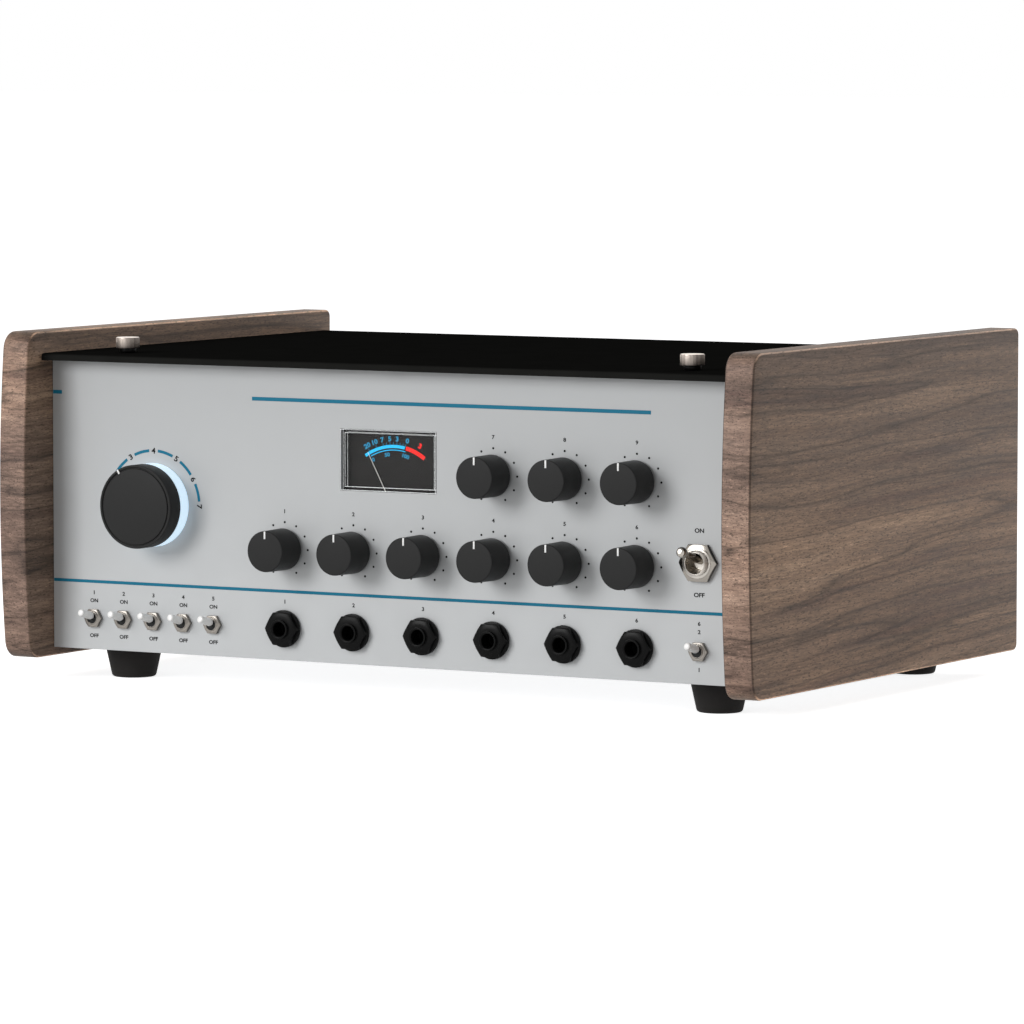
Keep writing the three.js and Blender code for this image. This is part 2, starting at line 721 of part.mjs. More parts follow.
function selectorKnob() {
  const grooveOut = selectorGrooveRadius + selectorGrooveWidth / 2;
  const grooveIn = selectorGrooveRadius - selectorGrooveWidth / 2;
  const grooveBottom = selectorDepth - selectorGrooveDepth;
  const body = revolve(
    [
      [0, lightRingDepth + seatGap],
      [selectorRadius, lightRingDepth + seatGap],
      [selectorRadius, selectorDepth - knobChamfer],
      [selectorRadius - knobChamfer, selectorDepth],
      [grooveOut, selectorDepth],
      [grooveOut, grooveBottom],
      [grooveIn, grooveBottom],
      [grooveIn, selectorDepth],
      [0, selectorDepth],
    ],
    turnedToFront,
    largeCount,
  );
  const shaftSpan = [-knobShaftReach, lightRingDepth + seatGap + overrun];
  const shaft = cylinder(knobShaftRadius, shaftSpan, turnedToFront, smallCount);
  const notch = block(
    [selectorRadius - selectorNotchLength, selectorRadius + overrun],
    [-selectorDepth - overrun, -selectorDepth + selectorNotchDepth],
    [-selectorNotchWidth / 2, selectorNotchWidth / 2],
  );
  return joined(body, shaft).subtract(notch.rotate([0, -selectorRestDegrees, 0]));
}
addPiece('selector_knob', selectorKnob().translate([selectorX, panelFaceY, selectorZ]), knobPlastic);

// Small knobs: slightly tapered, with a pointer groove at the top of the face
function smallKnob() {
  const body = revolve(
    [
      [0, knobBackGap],
      [knobRadius, knobBackGap],
      [knobFaceRadius, knobDepth - knobChamfer],
      [knobFaceRadius - knobChamfer, knobDepth],
      [0, knobDepth],
    ],
    turnedToFront,
  );
  const shaftSpan = [-knobShaftReach, knobBackGap + overrun];
  const shaft = cylinder(knobShaftRadius, shaftSpan, turnedToFront, smallCount);
  const pointer = block(
    [-knobPointerWidth / 2, knobPointerWidth / 2],
    [-knobDepth - overrun, -knobDepth + knobPointerDepth],
    [knobFaceRadius - knobPointerLength, knobFaceRadius + overrun],
  );
  return joined(body, shaft).subtract(pointer);
}
const plainKnob = smallKnob();
lowerKnobs.forEach(([x, z], i) => {
  addPiece(`knob_lower_${i + 1}`, plainKnob.translate([x, panelFaceY, z]), knobPlastic);
});
upperKnobs.forEach(([x, z], i) => {
  addPiece(`knob_upper_${i + 1}`, plainKnob.translate([x, panelFaceY, z]), knobPlastic);
});

// Control board: one pot behind each knob, and the selector switch
function controlBoard() {
  const housing = (size) => {
    const body = block(
      [-size / 2, size / 2],
      [panelThickness + seatGap, controlBoardSetback + overrun],
      [-size / 2, size / 2],
    );
    const bushing = cylinder(bushingRadius, [-controlBoardSetback, bushingReach], turnedToFront, smallCount);
    const boreSpan = [-knobShaftReach - seatGap, bushingReach + overrun];
    const bore = cylinder(knobShaftRadius + seatGap, boreSpan, turnedToFront, smallCount);
    return joined(body, bushing).subtract(bore);
  };
  const outline = rectangle(
    [selectorX - controlBoardMargin, lastColumnX + controlBoardMargin],
    [lowerKnobZ - controlBoardMargin, upperKnobZ + controlBoardMargin],
  );
  const board = prism(outline, intoCase, boardThickness).translate([
    0,
    panelFaceY + controlBoardSetback + boardThickness,
    0,
  ]);
  const meterReach = meterCaseWidth / 2 + controlBoardWindowGap;
  const meterRoom = block(
    [-meterReach, meterReach],
    [panelFaceY, panelFaceY + meterCaseDepth + controlBoardSetback],
    [meterZ - meterCaseBottom - controlBoardWindowGap, upperKnobZ + controlBoardMargin + overrun],
  );
  const pot = housing(potSize);
  const pots = [...lowerKnobs, ...upperKnobs].map(([x, z]) => pot.translate([x, panelFaceY, z]));
  const selectorSwitch = housing(selectorSwitchSize).translate([selectorX, panelFaceY, selectorZ]);
  return joined(board.subtract(meterRoom), selectorSwitch, ...pots);
}
addPiece('control_board', controlBoard(), greenBoard);

// Jacks: flange, hexagon nut and collar in front of the panel, body behind it, one bore through them
function jack() {
  const backHeight = -panelThickness - seatGap;
  const half = jackBodySize / 2;
  const sleeve = revolve(
    [
      [0, backHeight - overrun],
      [jackBarrelRadius, backHeight - overrun],
      [jackBarrelRadius, seatGap],
      [jackFlangeRadius, seatGap],
      [jackFlangeRadius, jackFlangeDepth],
      [jackCollarRadius, jackFlangeDepth],
      [jackCollarRadius, jackCollarDepth],
      [0, jackCollarDepth],
    ],
    turnedToFront,
    mediumCount,
  );
  const nut = hexagon(jackNutFlats, [jackFlangeDepth - seatGap, jackNutDepth], turnedToFront);
  const body = block([-half, half], [-backHeight, -backHeight + jackBodyDepth], [-half, half]);
  const boreEnd = backHeight - jackBodyDepth + jackBoreWall;
  const bore = cylinder(jackBoreRadius, [boreEnd, jackCollarDepth + overrun], turnedToFront, smallCount);
  return joined(sleeve, nut, body).subtract(bore);
}
const plainJack = jack();
jacks.forEach(([x, z], i) => {
  addPiece(`jack_${i + 1}`, plainJack.translate([x, panelFaceY, z]), blackPlastic);
});

// Toggle switches. The pivot is inside the bushing, and the bore widens to let the lever tilt both ways.
const smallSwitch = {
  bushing: smallBushingRadius,
  reach: smallBushingDepth,
  flats: smallNutFlats,
  nut: smallNutDepth,
  pivot: smallPivotSetback,
  length: smallLeverLength,
  neck: smallLeverRadius,
  sleeve: smallSleeveRadius,
  cone: smallSleeveCone,
  start: smallPivotSetback + smallBushingDepth + smallSleeveGap,
  tip: smallLeverTipRadius,
  tail: smallLeverTail,
  tilt: THREE.MathUtils.degToRad(smallTiltDegrees),
  width: smallBodyWidth,
  height: smallBodyHeight,
  depth: smallBodyDepth,
};
const powerSwitch = {
  bushing: powerBushingRadius,
  reach: powerBushingDepth,
  flats: powerNutFlats,
  nut: powerNutDepth,
  pivot: powerPivotSetback,
  length: powerLeverLength,
  neck: powerLeverRadius,
  sleeve: powerLeverRadius,
  cone: 0,
  start: powerPivotSetback + powerBushingDepth,
  tip: powerLeverTipRadius,
  tail: powerLeverTail,
  tilt: THREE.MathUtils.degToRad(powerTiltDegrees),
  width: powerBodyWidth,
  height: powerBodyHeight,
  depth: powerBodyDepth,
};

function switchHousing(kind) {
  const backHeight = -panelThickness - seatGap;
  const bushing = cylinder(kind.bushing, [backHeight - overrun, kind.reach], turnedToFront, smallCount);
  const nut = hexagon(kind.flats, [seatGap, kind.nut], turnedToFront);
  const body = block(
    [-kind.width / 2, kind.width / 2],
    [-backHeight, -backHeight + kind.depth],
    [-kind.height / 2, kind.height / 2],
  );
  const boreAt = (distance) => distance * Math.tan(kind.tilt) + kind.neck / Math.cos(kind.tilt) + seatGap;
  const tailRoom = kind.tail + seatGap;
  const bore = revolve(
    [
      [0, -kind.pivot - tailRoom],
      [boreAt(tailRoom), -kind.pivot - tailRoom],
      [boreAt(kind.neck), -kind.pivot],
      [boreAt(kind.pivot + kind.reach + overrun), kind.reach + overrun],
      [0, kind.reach + overrun],
    ],
    turnedToFront,
    smallCount,
  );
  return joined(bushing, nut, body).subtract(bore);
}

// The sleeve starts in front of the bushing with a cone that clears its rim when the lever tilts.
// A lever without a sleeve goes on as thick as its neck.
function switchLever(kind) {
  const waist = kind.length - 2 * kind.tip;
  const step = kind.sleeve > kind.neck ? [[kind.sleeve, kind.start + kind.cone]] : [];
  const lever = revolve(
    [
      [0, -kind.tail],
      [kind.neck, -kind.tail],
      [kind.neck, kind.start],
      ...step,
      [kind.tip, waist],
      [kind.tip, kind.length - kind.tip / 2],
      [kind.tip / 2, kind.length],
      [0, kind.length],
    ],
    turnedToFront,
    leverCount,
  );
  return lever.rotate([-THREE.MathUtils.radToDeg(kind.tilt), 0, 0]).translate([0, kind.pivot, 0]);
}

const smallHousing = switchHousing(smallSwitch);
const smallLever = switchLever(smallSwitch);
const switchBoardY = panelBackY + seatGap + smallBodyDepth;
const switchBoard = block(
  [modeSwitchX(1) - switchBoardMargin, modeSwitchX(modeSwitchCount) + switchBoardMargin],
  [switchBoardY - seatGap, switchBoardY + boardThickness],
  [jackZ - switchBoardMargin, jackZ + switchBoardMargin],
);
const modeHousings = modeSwitches.map(([x, z]) => smallHousing.translate([x, panelFaceY, z]));
addPiece('mode_switch_board', joined(switchBoard, ...modeHousings), nickel);
modeSwitches.forEach(([x, z], i) => {
  addPiece(`mode_switch_lever_${i + 1}`, smallLever.translate([x, panelFaceY, z]), nickel);
});
addPiece('level_switch_body', smallHousing.translate([switchX, panelFaceY, jackZ]), nickel);
addPiece('level_switch_lever', smallLever.translate([switchX, panelFaceY, jackZ]), nickel);
const powerPlace = [switchX, panelFaceY, powerSwitchZ];
addPiece('power_switch_body', switchHousing(powerSwitch).translate(powerPlace), nickel);
addPiece('power_switch_lever', switchLever(powerSwitch).translate(powerPlace), nickel);

// Meter: the clear cover fills the window and has a flange behind the panel, the case holds the dial
const coverFlangeY = panelBackY + seatGap;
const caseFrontY = coverFlangeY + meterCoverWall + seatGap;
const dialY = caseFrontY + meterDialDepth;
const caseSpan = [-meterCaseWidth / 2, meterCaseWidth / 2];
const caseRise = [meterZ - meterCaseBottom, meterZ + meterCaseTop];

function meterCover() {
  const coverFrontY = panelFaceY - meterProud;
  const outer = block(
    [meterLeft + seatGap, meterRight - seatGap],
    [coverFrontY, coverFlangeY + meterCoverWall],
    [meterBottomZ + seatGap, meterTopZ - seatGap],
  );
  const inset = seatGap + meterCoverWall;
  const inner = block(
    [meterLeft + inset, meterRight - inset],
    [coverFrontY + meterCoverWall, coverFlangeY + meterCoverWall + overrun],
    [meterBottomZ + inset, meterTopZ - inset],
  );
  const flange = block(caseSpan, [coverFlangeY, coverFlangeY + meterCoverWall], caseRise);
  return joined(outer, flange).subtract(inner);
}
addPiece('meter_cover', meterCover(), clearPlastic);

function meterCase() {
  const body = block(caseSpan, [caseFrontY, caseFrontY + meterCaseDepth], caseRise);
  const pocket = block(
    [caseSpan[0] + meterRim, caseSpan[1] - meterRim],
    [caseFrontY - overrun, dialY],
    [caseRise[0] + meterRim, caseRise[1] - meterRim],
  );
  const bearing = cylinder(
    needleAxleRadius + seatGap,
    [-needleAxleLength - seatGap, overrun],
    turnedToFront,
    smallCount,
  ).translate([0, dialY, meterPivotZ]);
  return body.subtract(pocket).subtract(bearing);
}
addPiece('meter_case', meterCase(), blackPlastic);

function meterNeedle() {
  const restY = dialY - meterDialDepth / 2;
  const blade = block(
    [-needleWidth / 2, needleWidth / 2],
    [-needleThickness / 2, needleThickness / 2],
    [-needleTail, needleLength],
  );
  const hubSpan = [-needleThickness / 2, needleThickness / 2];
  const hub = cylinder(needleHubRadius, hubSpan, turnedToFront, smallCount);
  const axle = cylinder(needleAxleRadius, [restY - dialY - needleAxleLength, 0], turnedToFront, smallCount);
  return joined(blade, hub, axle).rotate([0, -needleRestDegrees, 0]).translate([0, restY, meterPivotZ]);
}
addPiece('meter_needle', meterNeedle(), needleWhite);

// Deck plate: bearing of the capstan, bridge under the flywheel, tape guides, post of the pinch arm
function guidePost(radius) {
  const flangeRadius = radius + postFlangeReach;
  const flangeBottom = tapeBottomZ - seatGap;
  const flangeTop = tapeTopZ + seatGap;
  return revolve([
    [0, deckZ],
    [flangeRadius, deckZ],
    [flangeRadius, flangeBottom],
    [radius, flangeBottom],
    [radius, flangeTop],
    [flangeRadius, flangeTop],
    [flangeRadius, flangeTop + postFlangeHeight],
    [0, flangeTop + postFlangeHeight],
  ], turnedUpright, smallCount);
}

const entryGuideX = binRightX + binMargin;
const bridgeTopZ = flywheelBottomZ - bridgeDrop;
const motorDirection = Math.atan2(motorY - capstanY, motorX - capstanX);

function deckPlate() {
  const plate = block([-innerX + seatGap, innerX - seatGap], [deckFrontY, deckRearY], [deckZ, deckTopZ]);
  const bearingSpan = [deckZ - bearingDrop, deckTopZ + bearingHeight];
  const bearing = cylinder(bearingRadius, bearingSpan, turnedUpright, smallCount);
  const pillarReach = flywheelRadius + bridgeClearance + beltThickness + bridgePillarRadius;
  const pillarSpan = [bridgeTopZ - bridgeThickness, deckZ + seatGap];
  const pillar = cylinder(bridgePillarRadius, pillarSpan, turnedUpright, smallCount);
  const bar = block(
    [-pillarReach - bridgePillarRadius, pillarReach + bridgePillarRadius],
    [-bridgePillarRadius, bridgePillarRadius],
    [bridgeTopZ - bridgeThickness, bridgeTopZ],
  );
  const turn = THREE.MathUtils.radToDeg(motorDirection);
  const bridge = joined(bar, pillar.translate([pillarReach, 0, 0]), pillar.translate([-pillarReach, 0, 0]))
    .rotate([0, 0, turn])
    .translate([capstanX, capstanY, 0]);
  const turnGuide = guidePost(guideRadius);
  const guideInset = tapeClearance + guideRadius;
  const postSpan = [deckZ, deckTopZ + pinchHubHeight + seatGap];
  const pinchPost = cylinder(pinchPostRadius, postSpan, turnedUpright, smallCount);
  const bore = cylinder(capstanRadius + seatGap, [bearingSpan[0] - overrun, bearingSpan[1] + overrun]);
  const motorHoleSpan = [deckZ - overrun, deckTopZ + overrun];
  const motorHole = cylinder(motorShaftHole, motorHoleSpan, turnedUpright, smallCount);
  return joined(
    plate,
    bearing.translate([capstanX, capstanY, 0]),
    bridge,
    guidePost(entryGuideRadius).translate([entryGuideX, tapeY + tapeClearance + entryGuideRadius, 0]),
    turnGuide.translate([turnGuideX, tapeY + guideInset, 0]),
    turnGuide.translate([turnGuideX, tapeReturnY - guideInset, 0]),
    pinchPost.translate([pinchPivotX, pinchPivotY, 0]),
  )
    .subtract(bore.translate([capstanX, capstanY, 0]))
    .subtract(motorHole.translate([motorX, motorY, 0]));
}
addPiece('deck_plate', deckPlate(), aluminium);

// Capstan and flywheel: the shaft stands on the bridge and runs in the deck's bearing
const flywheelMiddleZ = (flywheelTopZ + flywheelBottomZ) / 2;
const capstanFlywheel = revolve(
  [
    [0, bridgeTopZ + seatGap],
    [capstanRadius, bridgeTopZ + seatGap],
    [capstanRadius, flywheelBottomZ],
    [flywheelRadius, flywheelBottomZ],
    [flywheelRadius, flywheelTopZ],
    [flywheelRadius - flywheelRim, flywheelTopZ],
    [flywheelRadius - flywheelRim, flywheelTopZ - flywheelRecess],
    [flywheelHub, flywheelTopZ - flywheelRecess],
    [flywheelHub, flywheelTopZ],
    [capstanRadius, flywheelTopZ],
    [capstanRadius, tapeTopZ + capstanRise],
    [0, tapeTopZ + capstanRise],
  ],
);
addPiece('capstan_flywheel', capstanFlywheel.translate([capstanX, capstanY, 0]), steel);

// Motor on the deck, its pulley below the deck
const motorBottomZ = deckTopZ + seatGap;
const motorCan = revolve([
  [0, motorBottomZ],
  [motorRadius, motorBottomZ],
  [motorRadius, motorBottomZ + motorHeight],
  [motorBossRadius, motorBottomZ + motorHeight],
  [motorBossRadius, motorBottomZ + motorHeight + motorBossHeight],
  [0, motorBottomZ + motorHeight + motorBossHeight],
]);
const motorBore = cylinder(
  motorShaftRadius + seatGap,
  [motorBottomZ - overrun, motorBottomZ + motorShaftReach + seatGap],
  turnedUpright,
  smallCount,
);
addPiece('capstan_motor', motorCan.subtract(motorBore).translate([motorX, motorY, 0]), steel);

const pulleyHalf = beltWidth / 2 + seatGap + pulleyFlange;
const pulleyWaist = beltWidth / 2 + seatGap;
const motorPulley = revolve([
  [0, flywheelMiddleZ - pulleyHalf],
  [pulleyFlangeRadius, flywheelMiddleZ - pulleyHalf],
  [pulleyFlangeRadius, flywheelMiddleZ - pulleyWaist],
  [pulleyRadius, flywheelMiddleZ - pulleyWaist],
  [pulleyRadius, flywheelMiddleZ + pulleyWaist],
  [pulleyFlangeRadius, flywheelMiddleZ + pulleyWaist],
  [pulleyFlangeRadius, flywheelMiddleZ + pulleyHalf],
  [motorShaftRadius, flywheelMiddleZ + pulleyHalf],
  [motorShaftRadius, motorBottomZ + motorShaftReach],
  [0, motorBottomZ + motorShaftReach],
], turnedUpright, mediumCount);
addPiece('motor_pulley', motorPulley.translate([motorX, motorY, 0]), aluminium);

// Drive belt: two straight runs, and an arc round each wheel
function driveBelt() {
  const distance = Math.hypot(motorOffsetX, motorOffsetY);
  const wrap = Math.acos((flywheelRadius - pulleyRadius) / distance);
  const outline = (offset) => [
    ...arc(0, 0, flywheelRadius + offset, wrap, 2 * Math.PI - wrap, 22),
    ...arc(distance, 0, pulleyRadius + offset, -wrap, wrap, 7),
  ];
  const ring = prism(outline(seatGap + beltThickness), upright, beltWidth, [outline(seatGap)]);
  return ring
    .rotate([0, 0, THREE.MathUtils.radToDeg(motorDirection)])
    .translate([capstanX, capstanY, flywheelMiddleZ - beltWidth / 2]);
}
addPiece('drive_belt', driveBelt(), beltRubber);

// Pinch roller and its arm
const armBottomZ = deckTopZ + seatGap;
const armTopZ = armBottomZ + pinchArmThickness;
const rollerBottomZ = armTopZ + seatGap;
const rollerTopZ = rollerBottomZ + pinchHeight;

function pinchArm() {
  const direction = Math.atan2(pinchY - pinchPivotY, pinchX - pinchPivotX);
  const quarter = Math.PI / 2;
  const outline = [
    ...arc(pinchPivotX, pinchPivotY, pinchArmWidth / 2, direction + quarter, direction + 3 * quarter, 8),
    ...arc(pinchX, pinchY, pinchArmWidth / 2, direction - quarter, direction + quarter, 8),
  ];
  const plate = prism(outline, upright, pinchArmThickness).translate([0, 0, armBottomZ]);
  const hub = cylinder(pinchHubRadius, [armBottomZ, deckTopZ + pinchHubHeight], turnedUpright, smallCount);
  const hole = cylinder(
    pinchPostRadius + seatGap,
    [armBottomZ - overrun, deckTopZ + pinchHubHeight + overrun],
    turnedUpright,
    smallCount,
  );
  const axle = revolve([
    [0, armBottomZ],
    [pinchAxleRadius, armBottomZ],
    [pinchAxleRadius, rollerTopZ + seatGap],
    [pinchCapRadius, rollerTopZ + seatGap],
    [pinchCapRadius, rollerTopZ + seatGap + pinchCapHeight],
    [0, rollerTopZ + seatGap + pinchCapHeight],
  ], turnedUpright, smallCount);
  const pivot = [pinchPivotX, pinchPivotY, 0];
  const arm = joined(plate, hub.translate(pivot), axle.translate([pinchX, pinchY, 0]));
  return arm.subtract(hole.translate(pivot));
}
addPiece('pinch_arm', pinchArm(), steel);

const pinchRoller = revolve([
  [pinchAxleRadius + seatGap, rollerBottomZ],
  [pinchRadius, rollerBottomZ],
  [pinchRadius, rollerTopZ],
  [pinchAxleRadius + seatGap, rollerTopZ],
  [pinchAxleRadius + seatGap, rollerBottomZ],
]);
addPiece('pinch_roller', pinchRoller.translate([pinchX, pinchY, 0]), rubber);

// Heads on their plate, with rounded fronts against the tape
const headPlate = block(
  [headPlateLeftX, lastHeadX + headWidth / 2 + headPlateMargin],
  [headY + headPlateSetback, headY + headPlateSetback + headPlateDepth],
  [deckTopZ + seatGap, headPlateTopZ],
);
addPiece('head_plate', headPlate, aluminium);

function tapeHead(bottomZ) {
  const half = headWidth / 2;
  const noseRadius = (half ** 2 + headNose ** 2) / (2 * headNose);
  const spread = Math.asin(half / noseRadius);
  const noseY = headY + noseRadius;
  const outline = [
    ...arc(0, noseY, noseRadius, -Math.PI / 2 - spread, -Math.PI / 2 + spread, 6),
    new THREE.Vector2(half, headY + headDepth),
    new THREE.Vector2(-half, headY + headDepth),
  ];
  return prism(outline, upright, headPlateTopZ + seatGap + headHeight - bottomZ).translate([0, 0, bottomZ]);
}
const headBottomZ = headPlateTopZ + seatGap;
addPiece('erase_head', tapeHead(headBottomZ).translate([headX(1), 0, 0]), steel);
addPiece('record_head', tapeHead(headBottomZ).translate([headX(2), 0, 0]), steel);

const playbackShelf = block(
  [headX(3) - headWidth / 2, lastHeadX + headWidth / 2],
  [headY + headPlateSetback, headY + headDepth],
  [headBottomZ, headBottomZ + headShelf],
);
const playbackHeads = Array.from({ length: playbackHeadCount }, (_, i) => {
  return tapeHead(headBottomZ).translate([headX(i + 3), 0, 0]);
});
addPiece('playback_heads', joined(playbackShelf, ...playbackHeads), steel);

// Tape bin: a tray open at the top, with two mouths for the tape
function tapeBin() {
  const floorTop = tapeBottomZ - seatGap;
  const body = block([binLeftX, binRightX], [binFrontY, binRearY], [deckTopZ + seatGap, binTopZ]);
  const insideSpan = [binLeftX + binWall, binRightX - binWall];
  const insideDepth = [binFrontY + binWall, binRearY - binWall];
  const room = block(insideSpan, insideDepth, [floorTop, binTopZ + overrun]);
  const underside = block(insideSpan, insideDepth, [deckTopZ, floorTop - binWall]);
  const mouth = (y) =>
    block(
      [binRightX - binWall - overrun, binRightX + overrun],
      [y - binMouth / 2, y + binMouth / 2],
      [floorTop, binTopZ + overrun],
    );
  return body.subtract(room).subtract(underside).subtract(mouth(tapeY)).subtract(mouth(tapeReturnY));
}
addPiece('tape_bin', tapeBin(), blackPlastic);

const coverBottomZ = binTopZ + seatGap;
const coverStepInset = binWall + seatGap;
const binCover = joined(
  block([binLeftX, binRightX], [binFrontY, binRearY], [coverBottomZ, coverBottomZ + binCoverThickness]),
  block(
    [binLeftX + coverStepInset, binRightX - coverStepInset],
    [binFrontY + coverStepInset, binRearY - coverStepInset],
    [coverBottomZ - seatGap - binCoverStep, coverBottomZ + binCoverThickness / 2],
  ),
);
addPiece('tape_bin_cover', binCover, clearPlastic);

// Endless tape: past the heads, round two guides, and back through the bin in loose folds
function tapePath() {
  const turnRadius = guideRadius + tapeClearance;
  const foldRadius = tapeReturnDepth / (foldCount - 1) / 2;
  const foldLeftX = binLeftX + binTurnInset;
  const foldRightX = binRightX - binTurnInset;
  const points = [
    ...arc(turnGuideX, tapeY + turnRadius, turnRadius, -Math.PI / 2, 0, 5),
    ...arc(turnGuideX, tapeReturnY - turnRadius, turnRadius, 0, Math.PI / 2, 5),
    new THREE.Vector2(binRightX, tapeReturnY),
  ];
  const swing = (x) => tapeWave * Math.sin((2 * Math.PI * (x - foldRightX)) / (foldRightX - foldLeftX));
  for (let fold = 0; fold < foldCount; fold++) {
    const y = tapeReturnY - fold * 2 * foldRadius;
    const leftward = fold % 2 === 0;
    const startX = leftward ? foldRightX : foldLeftX;
    const endX = leftward ? foldLeftX : foldRightX;
    for (let i = 0; i <= foldSteps; i++) {
      const x = startX + ((endX - startX) * i) / foldSteps;
      points.push(new THREE.Vector2(x, y + swing(x)));
    }
    if (fold < foldCount - 1) {
      const turnEnd = leftward ? (3 * Math.PI) / 2 : -Math.PI / 2;
      points.push(...arc(endX, y - foldRadius, foldRadius, Math.PI / 2, turnEnd, 5).slice(1, -1));
    }
  }
  points.push(new THREE.Vector2(binRightX, tapeY));
  return points;
}

function ribbon(path, thickness) {
  const side = (offset) =>
    path.map((point, i) => {
      const before = path[(i + path.length - 1) % path.length];
      const after = path[(i + 1) % path.length];
      const along = after.clone().sub(before).normalize();
      return new THREE.Vector2(point.x + along.y * offset, point.y - along.x * offset);
    });
  return prism(side(thickness / 2), upright, tapeWidth, [side(-thickness / 2)]);
}
addPiece('tape_loop', ribbon(tapePath(), tapeThickness).translate([0, 0, tapeBottomZ]), tapeBrown);

// Main circuit board: rows of connectors, chips and capacitors, and a finned heat sink
function mainBoard() {
  const boardZ = floorTopZ + standoffHeight + seatGap;
  const topZ = boardZ + boardThickness;
  const row = (count, component, share) =>
    Array.from({ length: count }, (_, i) => {
      const x = boardLeftX + componentMargin + i * componentPitch;
      return component.translate([x, boardFrontY + boardDepth * share, 0]);
    });
  const box = (width, depth, height) =>
    block([-width / 2, width / 2], [-depth / 2, depth / 2], [boardZ, topZ + height]);
  const capacitor = cylinder(capacitorRadius, [boardZ, topZ + capacitorHeight], turnedUpright, smallCount);
  const sinkX = boardRightX - sinkRightInset - sinkWidth;
  const sinkY = boardRearY - sinkRearInset - sinkDepth;
  const finPitch = (sinkWidth - finThickness) / (finCount - 1);
  const fins = Array.from({ length: finCount }, (_, i) => {
    const x = sinkX + i * finPitch;
    return block([x, x + finThickness], [sinkY, sinkY + sinkDepth], [boardZ, topZ + sinkHeight]);
  });
  const webY = sinkY + sinkDepth / 2;
  return joined(
    block([boardLeftX, boardRightX], [boardFrontY, boardRearY], [boardZ, topZ]),
    ...row(connectorCount, box(connectorWidth, connectorDepth, connectorHeight), connectorRowShare),
    ...row(chipCount, box(chipWidth, chipDepth, chipHeight), chipRowShare),
    ...row(capacitorCount, capacitor, capacitorRowShare),
    block([sinkX, sinkX + sinkWidth], [webY, webY + sinkWeb], [boardZ, topZ + sinkHeight]),
    ...fins,
  );
}
addPiece('main_circuit_board', mainBoard(), greenBoard);

// Toroidal transformer, clamped by a dished plate and a bolt
const toroidX = innerX - toroidRightInset;

function transformer() {
  const bottom = floorTopZ + seatGap;
  const top = bottom + toroidHeight;
  const ring = revolve([
    [toroidBore, bottom],
    [toroidRadius - toroidRounding, bottom],
    [toroidRadius, bottom + toroidRounding],
    [toroidRadius, top - toroidRounding],
    [toroidRadius - toroidRounding, top],
    [toroidBore, top],
    [toroidBore, bottom],
  ]);
  const plate = cylinder(toroidPlateRadius, [top - seatGap, top + toroidPlateThickness]);
  const bolt = cylinder(toroidBoltRadius, [bottom, top + toroidBoltRise], turnedUpright, smallCount);
  return joined(ring, plate, bolt).translate([toroidX, innerRearY - toroidRearInset, 0]);
}
addPiece('transformer', transformer(), transformerWrap);

// Spring reverb tank: a flat steel box with a flange at each end
function springTank() {
  const leftX = -innerX + tankLeftInset;
  const rightX = toroidX - toroidRadius - tankToroidGap;
  const bottom = floorTopZ + seatGap;
  const span = [tankRearY - tankDepth, tankRearY];
  return joined(
    block([leftX + tankFlange, rightX - tankFlange], span, [bottom, bottom + tankHeight]),
    block([leftX, rightX], span, [bottom, bottom + sheet]),
  );
}
addPiece('spring_tank', springTank(), steel);

// Power inlet in the rear wall: flange outside, body inside, three pins in its cavity
function powerInlet() {
  const flangeBackY = rearWallY + seatGap;
  const half = (size) => [-size / 2, size / 2];
  const mouthY = flangeBackY + inletFlangeThickness;
  const bodySpan = [flangeBackY - inletBodyDepth, flangeBackY + seatGap];
  const flange = block(half(inletFlangeWidth), [flangeBackY, mouthY], half(inletFlangeHeight));
  const body = block(half(inletBodyWidth), bodySpan, half(inletBodyHeight));
  const cavityEndY = mouthY - inletCavityDepth;
  const cavity = block(
    half(inletBodyWidth - 2 * inletWall),
    [cavityEndY, mouthY + overrun],
    half(inletBodyHeight - 2 * inletWall),
  );
  const pin = (x, z) =>
    block(
      [x - inletPinThickness / 2, x + inletPinThickness / 2],
      [cavityEndY - seatGap, cavityEndY + inletPinLength],
      [z - inletPinHeight, z],
    );
  const pins = [pin(-inletPinSpread, 0), pin(0, inletPinHeight / 2), pin(inletPinSpread, 0)];
  return joined(joined(flange, body).subtract(cavity), ...pins).translate([inletX, 0, inletZ]);
}
addPiece('power_inlet', powerInlet(), blackPlastic);

export default unit;
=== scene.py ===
# %% [markdown]
# # A tape echo unit
# This lesson dresses a table-top tape echo unit: walnut side panels, a pale printed front panel
# with knobs, jacks, switches and a lit selector, a black lid, and the tape transport under it.
# The solids arrive as a fixed frame. Plain ones that are already right only get a finish, and
# turned or printed ones are made again here with the roundness that the eye expects.

# %% Load the frame
import math

import bmesh
import bpy
from mathutils import Matrix, Vector


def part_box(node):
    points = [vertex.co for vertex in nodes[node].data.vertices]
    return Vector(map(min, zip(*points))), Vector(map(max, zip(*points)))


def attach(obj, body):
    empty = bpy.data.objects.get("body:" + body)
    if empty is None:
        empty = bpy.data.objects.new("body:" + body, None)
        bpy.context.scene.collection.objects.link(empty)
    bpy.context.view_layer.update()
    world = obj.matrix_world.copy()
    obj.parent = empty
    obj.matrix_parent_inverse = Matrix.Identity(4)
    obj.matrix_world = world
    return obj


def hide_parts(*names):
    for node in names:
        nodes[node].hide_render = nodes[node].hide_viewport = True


MM = 0.001


def mm(*values):
    """Millimetres as metres: plain numbers, or points as tuples."""
    return [tuple(mm(*value)) if isinstance(value, tuple) else value * MM for value in values]


